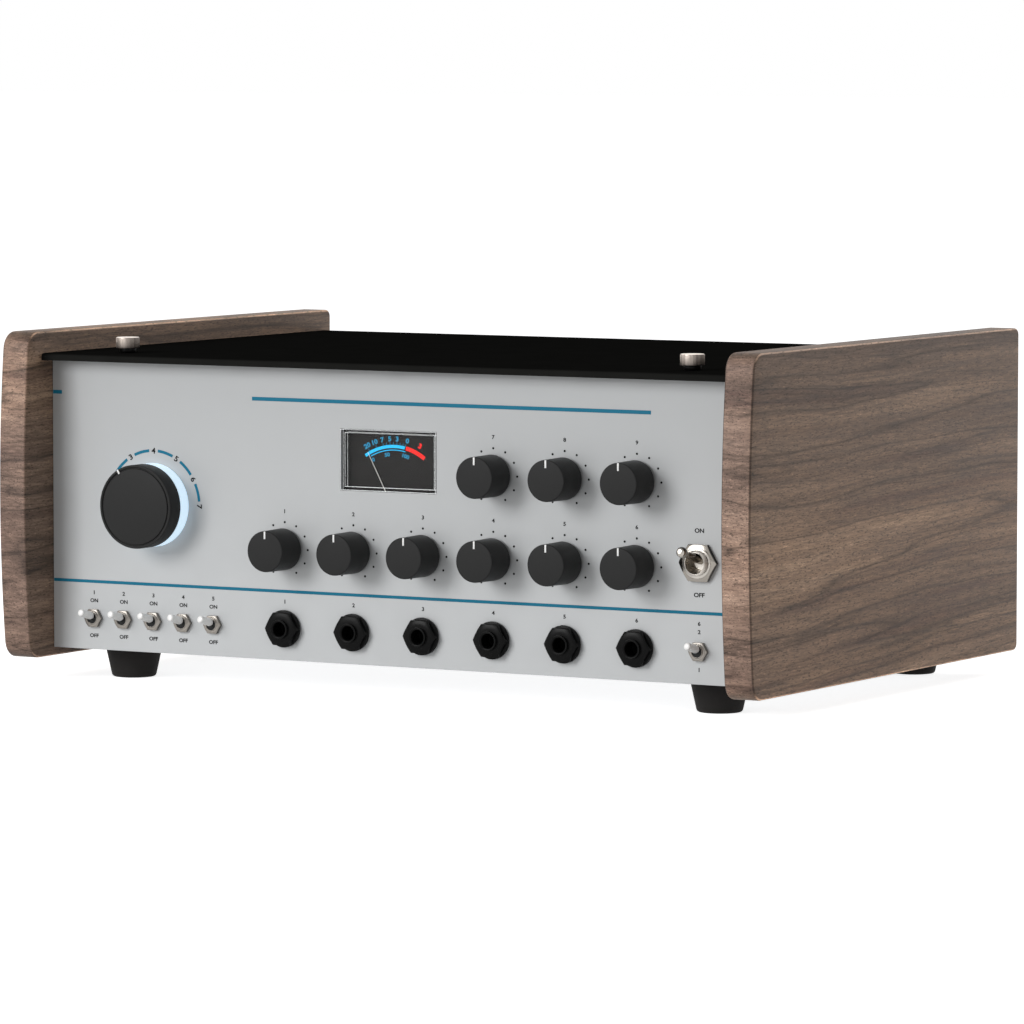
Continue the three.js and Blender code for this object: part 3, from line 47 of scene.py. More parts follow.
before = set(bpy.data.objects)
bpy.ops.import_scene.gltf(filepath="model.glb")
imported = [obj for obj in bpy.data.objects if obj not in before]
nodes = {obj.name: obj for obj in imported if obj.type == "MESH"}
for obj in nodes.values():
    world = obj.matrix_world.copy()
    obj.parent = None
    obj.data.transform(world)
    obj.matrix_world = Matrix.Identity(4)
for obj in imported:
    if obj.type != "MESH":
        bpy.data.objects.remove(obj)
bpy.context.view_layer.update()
scene = bpy.context.scene
scene.view_settings.view_transform = "Standard"
print("solids loaded:", len(nodes))

# %% [markdown]
# ## Camera
# A product photograph is taken from far away with a long lens, so that the case hardly tapers.
# The camera stands where the photograph was taken from.

# %% Camera
camera_data = bpy.data.cameras.new("camera")
camera_data.sensor_fit = "HORIZONTAL"
camera_data.sensor_width = 36
camera_data.lens = 223.95
camera_data.clip_end = 100
camera = bpy.data.objects.new("camera", camera_data)
camera_turn = math.radians(29.831)
camera_dip = math.radians(4.445)
camera.location = Vector((1535.4, -2677.7, 320.3)) * MM
camera.rotation_euler = (math.pi / 2 - camera_dip, 0, camera_turn)
scene.collection.objects.link(camera)
scene.camera = camera
print("camera distance:", round(camera.location.length, 3), "m")

# %% [markdown]
# ## Colours and nodes
# Colours are written as they look on screen, but a renderer reckons with linear ones. Materials
# are networks of small nodes, so a few helpers make a node, fill in its inputs and hand back its
# result, which keeps the finishes below short.

# %% Colours as they look on screen
def screen_colour(code):
    """The linear colour of a hex code, such as 7a6a5f."""
    channels = [int(code[i : i + 2], 16) / 255 for i in (0, 2, 4)]
    linear = [c / 12.92 if c <= 0.04045 else ((c + 0.055) / 1.055) ** 2.4 for c in channels]
    return (*linear, 1)


# %% Short ways to add nodes
def set_inputs(made, inputs):
    """Fills in a node's inputs. A socket is linked, and anything else is the input's own value."""
    for name, value in inputs.items():
        if isinstance(value, bpy.types.NodeSocket):
            made.id_data.links.new(value, made.inputs[name])
        else:
            made.inputs[name].default_value = value


def add_node(tree, kind, inputs=None, **settings):
    """A shader or geometry node with its settings and its inputs."""
    made = tree.nodes.new(kind)
    for name, value in settings.items():
        setattr(made, name, value)
    set_inputs(made, inputs or {})
    return made


def maths(tree, operation, *values):
    """The result of a Math node."""
    return add_node(tree, "ShaderNodeMath", dict(enumerate(values)), operation=operation).outputs[0]


def spread(tree, value, low, high, low_result, high_result):
    """Goes from low_result to high_result as the value goes from low to high."""
    ranges = {"From Min": low, "From Max": high, "To Min": low_result, "To Max": high_result}
    return add_node(tree, "ShaderNodeMapRange", {"Value": value, **ranges}).outputs[0]


def new_material(name):
    """A material, its node tree and its surface node."""
    material = bpy.data.materials.new(name)
    material.use_nodes = True
    return material, material.node_tree, material.node_tree.nodes["Principled BSDF"]


# %% [markdown]
# ## White room and lamps
# The floor shows a soft shadow, and everything that a lens or a mirror would see of the room is
# plain white. Three large soft lamps light the case from the front left, the right and behind.

# %% White room
def seen_as_background(tree):
    """1 for the rays by which a lens, a mirror or clear plastic sees a surface, otherwise 0."""
    ray = add_node(tree, "ShaderNodeLightPath")
    direct = maths(tree, "MAXIMUM", ray.outputs["Is Camera Ray"], ray.outputs["Is Glossy Ray"])
    return maths(tree, "MAXIMUM", direct, ray.outputs["Is Transmission Ray"])


room_light = 0.4
white = (1, 1, 1, 1)
world = bpy.data.worlds.new("white_room")
scene.world = world
world.use_nodes = True
world_tree = world.node_tree
room_strength = spread(world_tree, seen_as_background(world_tree), 0, 1, room_light, 1.0)
set_inputs(world_tree.nodes["Background"], {"Color": white, "Strength": room_strength})

# %% Floor
floor_reach = 20
floor_grey = 0.8
floor_mesh = bpy.data.meshes.new("floor")
floor_corners = [(x * floor_reach, y * floor_reach, 0) for x, y in ((-1, -1), (1, -1), (1, 1), (-1, 1))]
floor_mesh.from_pydata(floor_corners, [], [(0, 1, 2, 3)])
floor = bpy.data.objects.new("floor", floor_mesh)
scene.collection.objects.link(floor)
floor_paint, floor_tree, floor_surface = new_material("floor_white")
floor_glow = spread(floor_tree, seen_as_background(floor_tree), 0, 1, 0.0, floor_grey)
set_inputs(floor_surface, {
    "Base Color": (floor_grey, floor_grey, floor_grey, 1), "Roughness": 1, "Specular IOR Level": 0,
    "Emission Color": white, "Emission Strength": floor_glow,
})
floor_mesh.materials.append(floor_paint)

# %% Soft lamps
def soft_lamp(name, place, aim, size, power):
    """A square lamp that faces the point aim."""
    lamp = bpy.data.lights.new(name, "AREA")
    lamp.shape = "SQUARE"
    lamp.size = size
    lamp.energy = power
    holder = bpy.data.objects.new(name, lamp)
    holder.location = place
    holder.rotation_euler = (Vector(aim) - Vector(place)).to_track_quat("-Z", "Y").to_euler()
    scene.collection.objects.link(holder)


soft_lamp("key_lamp", (-1.3, -2.6, 1.2), (0, 0, 0.08), 1.3, 52)
soft_lamp("side_lamp", (2.6, -0.8, 0.45), (0.1, 0, 0.05), 1.6, 6)
soft_lamp("back_lamp", (0.9, 2.2, 1.6), (0, 0, 0.1), 1.2, 18)
print("lamps:", len(bpy.data.lights))

# %% [markdown]
# ## Finishes
# One helper makes most finishes. It spreads a slow noise over the colour and the roughness, adds
# a fine noise as bump, and lets the Bevel node round the light on sharp edges, so that a plain
# solid doesn't look cut from paper. Brushed and knurled metal have that noise drawn out along one
# axis. Wood and lit or clear plastic get helpers of their own.

# %% Where a surface lies and faces
def place_on(tree):
    return add_node(tree, "ShaderNodeTexCoord").outputs["Object"]


def normal_on(tree):
    return add_node(tree, "ShaderNodeNewGeometry").outputs["Normal"]


def cosine(tree, first, second):
    """The cosine of the angle between two directions."""
    made = add_node(tree, "ShaderNodeVectorMath", {0: first, 1: second}, operation="DOT_PRODUCT")
    return made.outputs["Value"]


# %% Noise, mixed colours and rounded edges
def noise(tree, place, scale, detail, roughness=0.5):
    inputs = {"Vector": place, "Scale": scale, "Detail": detail, "Roughness": roughness}
    return add_node(tree, "ShaderNodeTexNoise", inputs).outputs["Fac"]


def mix(tree, factor, first, second, blend="MIX"):
    inputs = {"Factor": factor, 6: first, 7: second}
    return add_node(tree, "ShaderNodeMix", inputs, data_type="RGBA", blend_type=blend).outputs[2]


def rounded_normal(tree, radius):
    return add_node(tree, "ShaderNodeBevel", {"Radius": radius}, samples=4).outputs[0]


def on_edges(tree, rounded, end, strength):
    """Grows to strength where the rounded normal leaves the true one, as far as the cosine end."""
    return spread(tree, cosine(tree, normal_on(tree), rounded), 0.98, end, 0.0, strength)


# %% Helper for plain finishes
def finish(name, colour, roughness, metallic=0.0, mottle=0.05, mottle_mm=14, grain=0.03, grain_mm=0.35,
           edge_mm=0.25, stretch=(1, 1, 1), coat=0.0, specular=0.5, edge_wear_and_highlight=0.0):
    """A material with slow mottling, fine grain, rounded light on its edges, and pale edges that are partly
    wear and partly painted highlight.
    """
    material, tree, surface = new_material(name)
    stretched = add_node(tree, "ShaderNodeMapping", {"Vector": place_on(tree), "Scale": stretch}).outputs[0]
    slow = noise(tree, stretched, 1 / (mottle_mm * MM), 4.0)
    fine = noise(tree, stretched, 1 / (grain_mm * MM), 2.0)
    base = Vector(screen_colour(colour)[:3])
    shade = mix(tree, slow, (*(base * (1 - 2 * mottle)), 1), (*(base * (1 + 2 * mottle)), 1))
    swing = 0.06
    sheen = spread(tree, slow, 0.3, 0.7, max(roughness - swing, 0.02), min(roughness + swing, 1.0))
    rounded = rounded_normal(tree, edge_mm * MM)
    # pale edges: wear on some finishes, and on the lid a painted highlight
    if edge_wear_and_highlight:
        worn_and_lit_edge = (*(base * 0.5 + Vector((0.3, 0.3, 0.3))), 1)
        shade = mix(tree, maths(tree, "MULTIPLY", on_edges(tree, rounded, 0.8, edge_wear_and_highlight), slow), shade, worn_and_lit_edge)
    relief = {"Height": fine, "Strength": grain, "Distance": 0.1 * MM, "Normal": rounded}
    set_inputs(surface, {
        "Base Color": shade, "Roughness": sheen, "Metallic": metallic, "Coat Weight": coat,
        "Specular IOR Level": specular, "Normal": add_node(tree, "ShaderNodeBump", relief).outputs[0],
    })
    return material


# %% [markdown]
# ## Painted light and shade
# Metal mirrors the dark and bright things round it, and the light on the case falls off slowly.
# Both are painted into the colours: one helper paints light and shade on the faces that look one
# way, and another paints light that changes with height. That is plainer than building everything that stood
# round the case.

# %% Painted light by the way that a face looks
def scale_colour(material, factor):
    """Multiplies a finish's colour by a factor from its own tree."""
    tree = material.node_tree
    surface = tree.nodes["Principled BSDF"]
    base = surface.inputs["Base Color"].links[0].from_socket
    scaled = add_node(tree, "ShaderNodeVectorMath", {0: base, 1: factor}, operation="MULTIPLY")
    set_inputs(surface, {"Base Color": scaled.outputs[0]})


def tint(material, way, start, end, factor):
    """Paints light and shade: multiplies the colour by factor on faces that look along way, from start to end
    (cosines).
    """
    tree = material.node_tree
    scale_colour(material, spread(tree, cosine(tree, normal_on(tree), way), start, end, 1.0, factor))


# %% Painted light that changes with height
def fade(material, way, low, high, low_factor, high_factor):
    """Paints light that falls off: multiplies the colour, on faces along way, by a factor that changes slowly
    with height.
    """
    tree = material.node_tree
    height = add_node(tree, "ShaderNodeSeparateXYZ", {"Vector": place_on(tree)}).outputs["Z"]
    amount = spread(tree, height, low, high, low_factor, high_factor)
    share = maths(tree, "ABSOLUTE", cosine(tree, normal_on(tree), way))
    change = maths(tree, "SUBTRACT", amount, 1.0)
    scale_colour(material, maths(tree, "MULTIPLY_ADD", change, share, 1.0))


# %% Painted, plated and moulded finishes
panel_paint = finish("panel_paint", "babcbd", 0.42, metallic=0.15, mottle=0.01, grain=0.08, grain_mm=0.25,
                     edge_wear_and_highlight=0.3)
# the lid's pale edges are a painted highlight
lid_paint = finish("lid_paint", "121211", 0.85, mottle=0.1, grain=0.3, grain_mm=0.5, specular=0.0, edge_wear_and_highlight=0.12)
zinc_sheet = finish("zinc_sheet", "9b9da0", 0.42, metallic=0.7, mottle=0.04, mottle_mm=5, grain=0.06)
# nickel's colour is darker than bare nickel, as painted shade for the dark things that it mirrors
nickel = finish("nickel", "8d8881", 0.14, metallic=1, mottle=0.03, grain=0.02)
lever_nickel = finish("lever_nickel", "a39e97", 0.12, metallic=1, mottle=0.03, grain=0.02)
bushing_nickel = finish("bushing_nickel", "b4afa8", 0.3, metallic=1, mottle=0.06, mottle_mm=2, grain=0.05)
satin_nickel = finish("satin_nickel", "86817b", 0.34, metallic=1, mottle=0.06, mottle_mm=2, grain=0.1,
                      grain_mm=0.4)
# the knurled nickel's strong upright streaks are painted shading and reflections of the knurl
knurled_nickel = finish("knurled_nickel", "b8ada4", 0.4, metallic=1, mottle=0.36, mottle_mm=1.7, grain=0.05,
                        stretch=(1, 1, 0.03))
# painted shade: the panel's face grows darker towards the lid
fade(panel_paint, (0, 1, 0), 0.035, 0.14, 1.03, 0.81)
# painted light: the lid's faces that look forward, its front lip, are made lighter
tint(lid_paint, (0, -1, 0), 0.5, 0.95, 2.3)
# painted reflections on the knurl: darker on faces that look right, lighter on faces that look up
tint(knurled_nickel, (1, 0, 0), 0.1, 0.75, 0.25)
tint(knurled_nickel, (0, 0, 1), 0.4, 0.8, 2.0)
# painted reflections: nickel faces that look right and up are made much darker, and those that look right and
# down a little darker
tint(nickel, (0.87, 0, 0.5), 0.75, 0.95, 0.12)
tint(nickel, (0.87, 0, -0.5), 0.75, 0.95, 0.55)
# painted reflection: the power lever's upper side is made darker
tint(lever_nickel, (0.55, 0, 0.84), 0.5, 0.85, 0.3)
ground_steel = finish("ground_steel", "a3a5a7", 0.3, metallic=0.85, mottle=0.04, grain=0.06, stretch=(1, 1, 12))
brushed_deck = finish("brushed_deck", "b4b6b8", 0.4, metallic=0.65, mottle=0.03, mottle_mm=3, grain=0.12,
                      grain_mm=0.8, stretch=(0.04, 1, 1))
knob_black = finish("knob_black", "222222", 0.5, mottle=0.06, grain=0.25, grain_mm=0.3, specular=0.15,
                    edge_wear_and_highlight=0.06)
jack_black = finish("jack_black", "070707", 0.3, mottle=0.08, grain=0.05, specular=0.08)
case_black = finish("case_black", "151617", 0.45, mottle=0.08, grain=0.15, specular=0.2)
bin_grey = finish("bin_grey", "3a3d40", 0.5, mottle=0.05, grain=0.15, specular=0.2)
head_shell = finish("head_shell", "5d5750", 0.25, metallic=0.8, mottle=0.04, grain=0.05)
foot_rubber = finish("foot_rubber", "22201f", 0.78, mottle=0.12, grain=0.4, grain_mm=0.6, specular=0.2)
roller_rubber = finish("roller_rubber", "1f1f1e", 0.7, mottle=0.08, grain=0.2, specular=0.2)
lever_white = finish("lever_white", "f1f0ee", 0.3, mottle=0.02, grain=0.04)
pointer_white = finish("pointer_white", "f2f2f0", 0.5, mottle=0.01, grain=0.02)
blue_ink = finish("blue_ink", "18708c", 0.45, mottle=0.03, grain=0.05, specular=0.15)
black_ink = finish("black_ink", "1a1a1a", 0.5, mottle=0.05, grain=0.05, specular=0.1)
board_green = finish("board_green", "1d5a38", 0.38, mottle=0.12, mottle_mm=3, grain=0.1, coat=0.3)
brass = finish("brass", "b8933f", 0.28, metallic=1, mottle=0.04)
tape_brown = finish("tape_brown", "54392a", 0.25, mottle=0.1, mottle_mm=5, grain=0.03, specular=0.3)
amber_wrap = finish("amber_wrap", "c9962f", 0.3, mottle=0.1, mottle_mm=4, grain=0.05, coat=0.5)
connector_white = finish("connector_white", "e4e0d4", 0.4, mottle=0.03)
capacitor_blue = finish("capacitor_blue", "1f2f55", 0.3, mottle=0.04, coat=0.3)
print("finishes so far:", len(bpy.data.materials))

# %% [markdown]
# ## Walnut
# Walnut is cut along the grain, so its year rings show as long dark lines that wander slowly.
# The layers are noises drawn out along the grain, whose height is bent by one slow noise, and a
# thin dark line lies where one of them crosses its middle value. Fine fibres run the same way
# with short pores between them, and small pale specks among them are painted glints. All of it
# reads the board's own coordinates, so the lines run on over the rounded edges as they do in solid wood.

# %% Walnut
def walnut(name, shift, seam):
    """Walnut whose figure is moved by shift, and that is seam times as bright at its front edge."""
    material, tree, surface = new_material(name)
    place = place_on(tree)
    spot = add_node(tree, "ShaderNodeSeparateXYZ", {"Vector": place})
    moved = add_node(tree, "ShaderNodeMapping", {"Vector": place, "Location": shift}).outputs[0]
    axes = add_node(tree, "ShaderNodeSeparateXYZ", {"Vector": moved})

    def figure(scale, detail, stretch, roughness=0.55):
        """A noise drawn out along the grain."""
        drawn = add_node(tree, "ShaderNodeMapping", {"Vector": moved, "Scale": stretch}).outputs[0]
        return noise(tree, drawn, scale, detail, roughness)

    def calc(operation, *values):
        return maths(tree, operation, *values)

    def ramp(value, *stops):
        """A colour ramp, with a grey stop given as one number."""
        made = add_node(tree, "ShaderNodeValToRGB", {"Fac": value})
        for i, (position, colour) in enumerate(stops):
            stop = made.color_ramp.elements[0] if i == 0 else made.color_ramp.elements.new(position)
            stop.position = position
            stop.color = colour if isinstance(colour, tuple) else (colour, colour, colour, 1)
        made.color_ramp.elements.remove(made.color_ramp.elements[-1])
        return made.outputs["Color"]

    # the layers run along the board, sway a little and fan out towards its lower rear corner
    sway = calc("MULTIPLY", figure(7, 2, (0.5, 0.8, 1)), 0.014)
    fan = calc("MULTIPLY", calc("MULTIPLY", calc("SUBTRACT", spot.outputs["Z"], 0.16), 0.4),
               calc("ADD", spot.outputs["Y"], 0.05))
    climb = calc("ADD", calc("ADD", axes.outputs["Z"], sway), fan)
    across = calc("MULTIPLY", axes.outputs["X"], 0.15)
    along = calc("MULTIPLY", axes.outputs["Y"], 0.03)
    growth = add_node(tree, "ShaderNodeCombineXYZ", {"X": across, "Y": along, "Z": climb}).outputs[0]

    def layers(scale, detail):
        return noise(tree, growth, scale, detail)

    fibre = figure(1300, 2, (0.2, 0.09, 1), 0.6)
    strand = figure(420, 4, (0.2, 0.04, 1), 0.75)
    pores_and_glints = figure(1700, 1, (0.6, 0.25, 1.2), 0.3)
    shades = (
        ramp(layers(120, 4), (0.3, screen_colour("624d41")), (0.44, screen_colour("756050")),
             (0.56, screen_colour("846d5b")), (0.7, screen_colour("977f6b"))),
        ramp(layers(22, 2), (0.36, (0.76, 0.76, 0.78, 1)), (0.5, 1.0), (0.66, (1.12, 1.09, 1.05, 1))),
        ramp(layers(60, 2), (0.47, 1.0), (0.49, 0.74), (0.5, 0.46), (0.51, 0.74), (0.53, 1.0)),
        ramp(layers(85, 3), (0.55, 1.0), (0.565, 0.62), (0.58, 1.0)),
        ramp(layers(140, 2), (0.4, 1.0), (0.42, 0.72), (0.44, 1.0)),
        ramp(fibre, (0.3, 0.7), (0.7, 1.27)),
        ramp(strand, (0.3, (0.72, 0.71, 0.71, 1)), (0.7, (1.24, 1.23, 1.22, 1))),
        # the pale end of this ramp paints small glints
        ramp(pores_and_glints, (0.32, 0.45), (0.38, 1.0), (0.68, 1.0), (0.75, 1.6)),
    )

    # the narrow faces are painted paler as painted light from the front, the rounded edges along the top
    # carry a painted highlight, and the veneer on the outside meets the front edge in a dark seam
    facing = add_node(tree, "ShaderNodeSeparateXYZ", {"Vector": normal_on(tree)})
    outward, forward, upward = (calc("ABSOLUTE", facing.outputs[axis]) for axis in "XYZ")
    narrow = ramp(forward, (0.5, 1.0), (0.9, (1.42, 1.43, 1.58, 1)))
    painted_top_highlight = ramp(calc("MULTIPLY", outward, upward), (0.25, 1.0), (0.45, 4.2))
    veneer = ramp(calc("MULTIPLY", outward, forward), (0.3, 1.0), (0.42, seam))
    colour = shades[0]
    for shade in (*shades[1:], narrow, painted_top_highlight, veneer):
        colour = mix(tree, 1.0, colour, shade, "MULTIPLY")
    depth = calc("ADD", calc("MULTIPLY", fibre, 0.5), pores_and_glints)
    relief = add_node(tree, "ShaderNodeBump", {"Height": depth, "Strength": 0.35, "Distance": 0.15 * MM})
    set_inputs(surface, {
        "Base Color": colour, "Roughness": spread(tree, strand, 0, 1, 0.42, 0.66),
        "Specular IOR Level": 0.25, "Normal": relief.outputs[0],
    })
    return material


walnut_left = walnut("walnut_left", (0.3, 0.11, 0.24), 0.85)
walnut_right = walnut("walnut_right", (0.05, 0.02, 0.03), 0.45)
# painted light on the faces that look sideways: lighter low down, darker towards the top
fade(walnut_right, (1, 0, 0), 0.03, 0.15, 1.26, 0.84)
fade(walnut_left, (1, 0, 0), 0.03, 0.15, 1.1, 0.9)
print("walnut boards:", walnut_left.name, walnut_right.name)

# %% [markdown]
# ## Tools for making pieces
# A lathe turns a profile into a round solid, and a soft profile has its corners cut by short
# curves first, as a moulding or a turned part has. A block is a box with bevelled edges, and a
# plate gives an outline its thickness. Each finished piece lies where it belongs, with its object
# at the origin, and rides on a body.

# %% Lathe and block
UP = Matrix.Identity(4)
TO_FRONT = Matrix.Rotation(math.pi / 2, 4, "X")


def soft(profile, radius, steps=3):
    """A profile given in millimetres, as metres, with each inner corner cut by a short curve."""
    points = [Vector(point) for point in mm(*profile)]
    result = [points[0]]
    for before, corner, after in zip(points, points[1:], points[2:]):
        reach = min(radius * MM, (before - corner).length / 2.1, (after - corner).length / 2.1)
        start = corner + (before - corner).normalized() * reach
        end = corner + (after - corner).normalized() * reach
        for i in range(steps + 1):
            t = i / steps
            result.append(start.lerp(corner, t).lerp(corner.lerp(end, t), t))
    return result + [points[-1]]


def turn(profile, place, way=UP, segments=72, into=None):
    """Adds a solid of revolution. The profile is (radius, height), from its lowest point outwards."""
    build = into or bmesh.new()
    to_place = Matrix.Translation(place) @ way
    closed = (Vector(profile[0]) - Vector(profile[-1])).length < 1e-9
    points = profile[:-1] if closed else profile
    rings = []
    for radius, height in points:
        count = segments if radius > 1e-9 else 1
        angles = [2 * math.pi * i / segments for i in range(count)]
        spots = [Vector((radius * math.cos(angle), radius * math.sin(angle), height)) for angle in angles]
        rings.append([build.verts.new(to_place @ spot) for spot in spots])
    pairs = list(zip(rings, rings[1:]))
    if closed:
        pairs.append((rings[-1], rings[0]))
    for low, high in pairs:
        for i in range(segments):
            j = (i + 1) % segments
            corners = [low[i % len(low)], low[j % len(low)], high[j % len(high)], high[i % len(high)]]
            corners = list(dict.fromkeys(corners))
            if len(corners) > 2:
                build.faces.new(corners)
    return build


def block(low, high, bevel=0.2 * MM, into=None):
    """Adds a box between two corners, with bevelled edges."""
    build = into or bmesh.new()
    low, high = Vector(low), Vector(high)
    shape = Matrix.Translation((low + high) / 2) @ Matrix.Diagonal((*(high - low), 1))
    made = bmesh.ops.create_cube(build, size=1, matrix=shape)
    if bevel:
        edges = list({edge for vert in made["verts"] for edge in vert.link_edges})
        bmesh.ops.bevel(build, geom=edges, offset=bevel, segments=2, affect="EDGES", profile=0.5)
    return build


# %% Plate
def plate(outline, place, thickness, way=UP, bevel=0.0, into=None):
    """Adds a flat plate with that outline, (x, y) in its own plane, and that thickness along its axis."""
    build = into or bmesh.new()
    to_place = Matrix.Translation(place) @ way
    points = [Vector(point) for point in outline]
    count = len(points)
    spin = math.copysign(1, sum(points[i - 1].cross(points[i]) for i in range(count)))
    inward = []
    for i in range(count):
        before = (points[i] - points[i - 1]).normalized()
        after = (points[(i + 1) % count] - points[i]).normalized()
        middle = Vector((-before.y - after.y, before.x + after.x)).normalized() * spin
        inward.append(middle / max(0.3, abs(middle.dot((-after.y, after.x)))))
    angles = [math.pi / 2 * i / 4 for i in range(5)] if bevel else [math.pi / 2]
    rim = [(bevel * (1 - math.sin(angle)), bevel * (1 - math.cos(angle))) for angle in angles]
    rim += [(inset, thickness - height) for inset, height in reversed(rim)]
    rings = [
        [build.verts.new(to_place @ Vector((*(points[i] + inward[i] * inset), height))) for i in range(count)]
        for inset, height in rim
    ]
    build.faces.new(rings[-1])
    build.faces.new(list(reversed(rings[0])))
    for lower, upper in zip(rings, rings[1:]):
        for i in range(count):
            j = (i + 1) % count
            build.faces.new([lower[i], lower[j], upper[j], upper[i]])
    return build


# %% The finished piece
def move(build, matrix):
    bmesh.ops.transform(build, matrix=matrix, verts=build.verts)


def mesh_of(name, build):
    """The mesh of a build, which is freed."""
    mesh = bpy.data.meshes.new(name)
    build.normal_update()
    build.to_mesh(mesh)
    build.free()
    return mesh


def from_mesh(name, mesh, material, body, slot, replaced=(), sharp=35):
    """Makes the finished piece of a mesh that lies where it belongs."""
    mesh.materials.clear()
    mesh.materials.append(material)
    for face in mesh.polygons:
        face.use_smooth = len(face.vertices) < 5
    mesh.set_sharp_from_angle(angle=math.radians(sharp))
    made = bpy.data.objects.new(name, mesh)
    scene.collection.objects.link(made)
    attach(made, body)
    if replaced:
        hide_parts(*replaced)


def as_piece(name, build, *rest, **more):
    """Does the same for a build. The rest is its material, body, slot, which is not used, and replaced nodes.
    """
    from_mesh(name, mesh_of(name, build), *rest, **more)


def middle_of(node):
    low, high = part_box(node)
    return (low + high) / 2


def axis_of(node, z=0.0):
    """The point at height z on a node's upright axis."""
    middle = middle_of(node)
    return (middle.x, middle.y, z)


def dress(material, *names):
    """Gives solids that stay as they are their finish."""
    for name in names:
        mesh = nodes[name].data
        mesh.materials.clear()
        mesh.materials.append(material)


# %% [markdown]
# ## Three geometry trees
# What repeats is made by Geometry Nodes. The first tree sets copies of a small piece round an
# axis, and repeats the whole ring at each point of its host: the printed dots, the knurls of the
# thumbscrews and the bands of the winding are all rings, and a single screw is a ring of one. The
# second sets copies in a row. The third sweeps a flat band along a path, for the tape. Each ends in
# real mesh with its material.

# %% Shared start and end of a tree
def new_tree(name, inputs):
    """A geometry tree with a Geometry input and output and named inputs for its sizes."""
    tree = bpy.data.node_groups.new(name, "GeometryNodeTree")
    for label, kind in {"Geometry": "Geometry", **inputs, "Finish": "Material"}.items():
        tree.interface.new_socket(label, in_out="INPUT", socket_type="NodeSocket" + kind)
    tree.interface.new_socket("Geometry", in_out="OUTPUT", socket_type="NodeSocketGeometry")
    return tree, tree.nodes.new("NodeGroupInput").outputs


def end_tree(tree, geometry, given):
    real = add_node(tree, "GeometryNodeRealizeInstances", {"Geometry": geometry}).outputs[0]
    dressed = add_node(tree, "GeometryNodeSetMaterial", {"Geometry": real, "Material": given["Finish"]})
    set_inputs(tree.nodes.new("NodeGroupOutput"), {0: dressed.outputs[0]})
    return tree


def copy_to_host(tree, given, spots, turned=(0, 0, 0), way=(0, 0, 0)):
    """Sets the piece at the spots, and all of that at each of the host's points."""
    piece = add_node(tree, "GeometryNodeObjectInfo", {"Object": given["Piece"]}).outputs["Geometry"]
    inputs = {"Points": spots, "Instance": piece, "Rotation": turned}
    group = add_node(tree, "GeometryNodeInstanceOnPoints", inputs).outputs[0]
    whole = add_node(tree, "GeometryNodeGeometryToInstance", {"Geometry": group}).outputs[0]
    inputs = {"Points": given["Geometry"], "Instance": whole, "Rotation": way}
    return end_tree(tree, add_node(tree, "GeometryNodeInstanceOnPoints", inputs).outputs[0], given)


# %% Growing a plain mesh
def evaluated_mesh(made):
    return bpy.data.meshes.new_from_object(made.evaluated_get(bpy.context.evaluated_depsgraph_get()))


def grow(name, tree, host, values):
    """Evaluates the tree on a host mesh or curve and returns the plain mesh that comes out."""
    made = bpy.data.objects.new(name, host)
    scene.collection.objects.link(made)
    modifier = made.modifiers.new(name, "NODES")
    modifier.node_group = tree
    for item in tree.interface.items_tree:
        if item.in_out == "INPUT" and item.name in values:
            modifier[item.identifier] = values[item.name]
    mesh = evaluated_mesh(made)
    made.modifiers.remove(modifier)
    bpy.data.objects.remove(made)
    return mesh


def copies(name, tree, places, build, material, body, slot, **sizes):
    """Makes one piece of copies of a small build, which the tree sets at each place."""
    host = bpy.data.meshes.new("places")
    host.from_pydata([tuple(place) for place in places], [], [])
    pattern = bpy.data.objects.new("pattern", mesh_of("pattern", build))
    mesh = grow(name, tree, host, {"Piece": pattern, "Finish": material, **sizes})
    from_mesh(name, mesh, material, body, slot)


# %% Tree: copies round an axis
def make_ring_tree():
    inputs = {"Piece": "Object", "Count": "Int", "Radius": "Float", "First": "Float", "Step": "Float"}
    tree, given = new_tree("copies_round_an_axis", {**inputs, "Way": "Rotation"})
    number = add_node(tree, "GeometryNodeInputIndex").outputs[0]
    angle = maths(tree, "ADD", maths(tree, "MULTIPLY", number, given["Step"]), given["First"])
    across = maths(tree, "MULTIPLY", maths(tree, "COSINE", angle), given["Radius"])
    along = maths(tree, "MULTIPLY", maths(tree, "SINE", angle), given["Radius"])
    spot = add_node(tree, "ShaderNodeCombineXYZ", {"X": across, "Y": along}).outputs[0]
    spots = add_node(tree, "GeometryNodePoints", {"Count": given["Count"], "Position": spot}).outputs[0]
    facing = add_node(tree, "ShaderNodeCombineXYZ", {"Z": angle}).outputs[0]
    turned = add_node(tree, "FunctionNodeEulerToRotation", {"Euler": facing}).outputs[0]
    return copy_to_host(tree, given, spots, turned, given["Way"])


# %% Tree: copies in a row
def make_row_tree():
    tree, given = new_tree("copies_in_a_row", {"Piece": "Object", "Count": "Int", "Step": "Vector"})
    inputs = {"Count": given["Count"], "Offset": given["Step"]}
    return copy_to_host(tree, given, add_node(tree, "GeometryNodeMeshLine", inputs, mode="OFFSET").outputs[0])


# %% Tree: a band along a path
def make_band_tree():
    tree, given = new_tree("band_along_a_path", {"Width": "Float", "Thickness": "Float"})
    upright = add_node(tree, "GeometryNodeSetCurveNormal", {"Curve": given["Geometry"]}, mode="Z_UP").outputs[0]
    sizes = {"Width": given["Thickness"], "Height": given["Width"]}
    section = add_node(tree, "GeometryNodeCurvePrimitiveQuadrilateral", sizes).outputs[0]
    inputs = {"Curve": upright, "Profile Curve": section, "Fill Caps": True}
    return end_tree(tree, add_node(tree, "GeometryNodeCurveToMesh", inputs).outputs[0], given)


ring_tree = make_ring_tree()
row_tree = make_row_tree()
band_tree = make_band_tree()
print("geometry trees:", [tree.name for tree in bpy.data.node_groups])

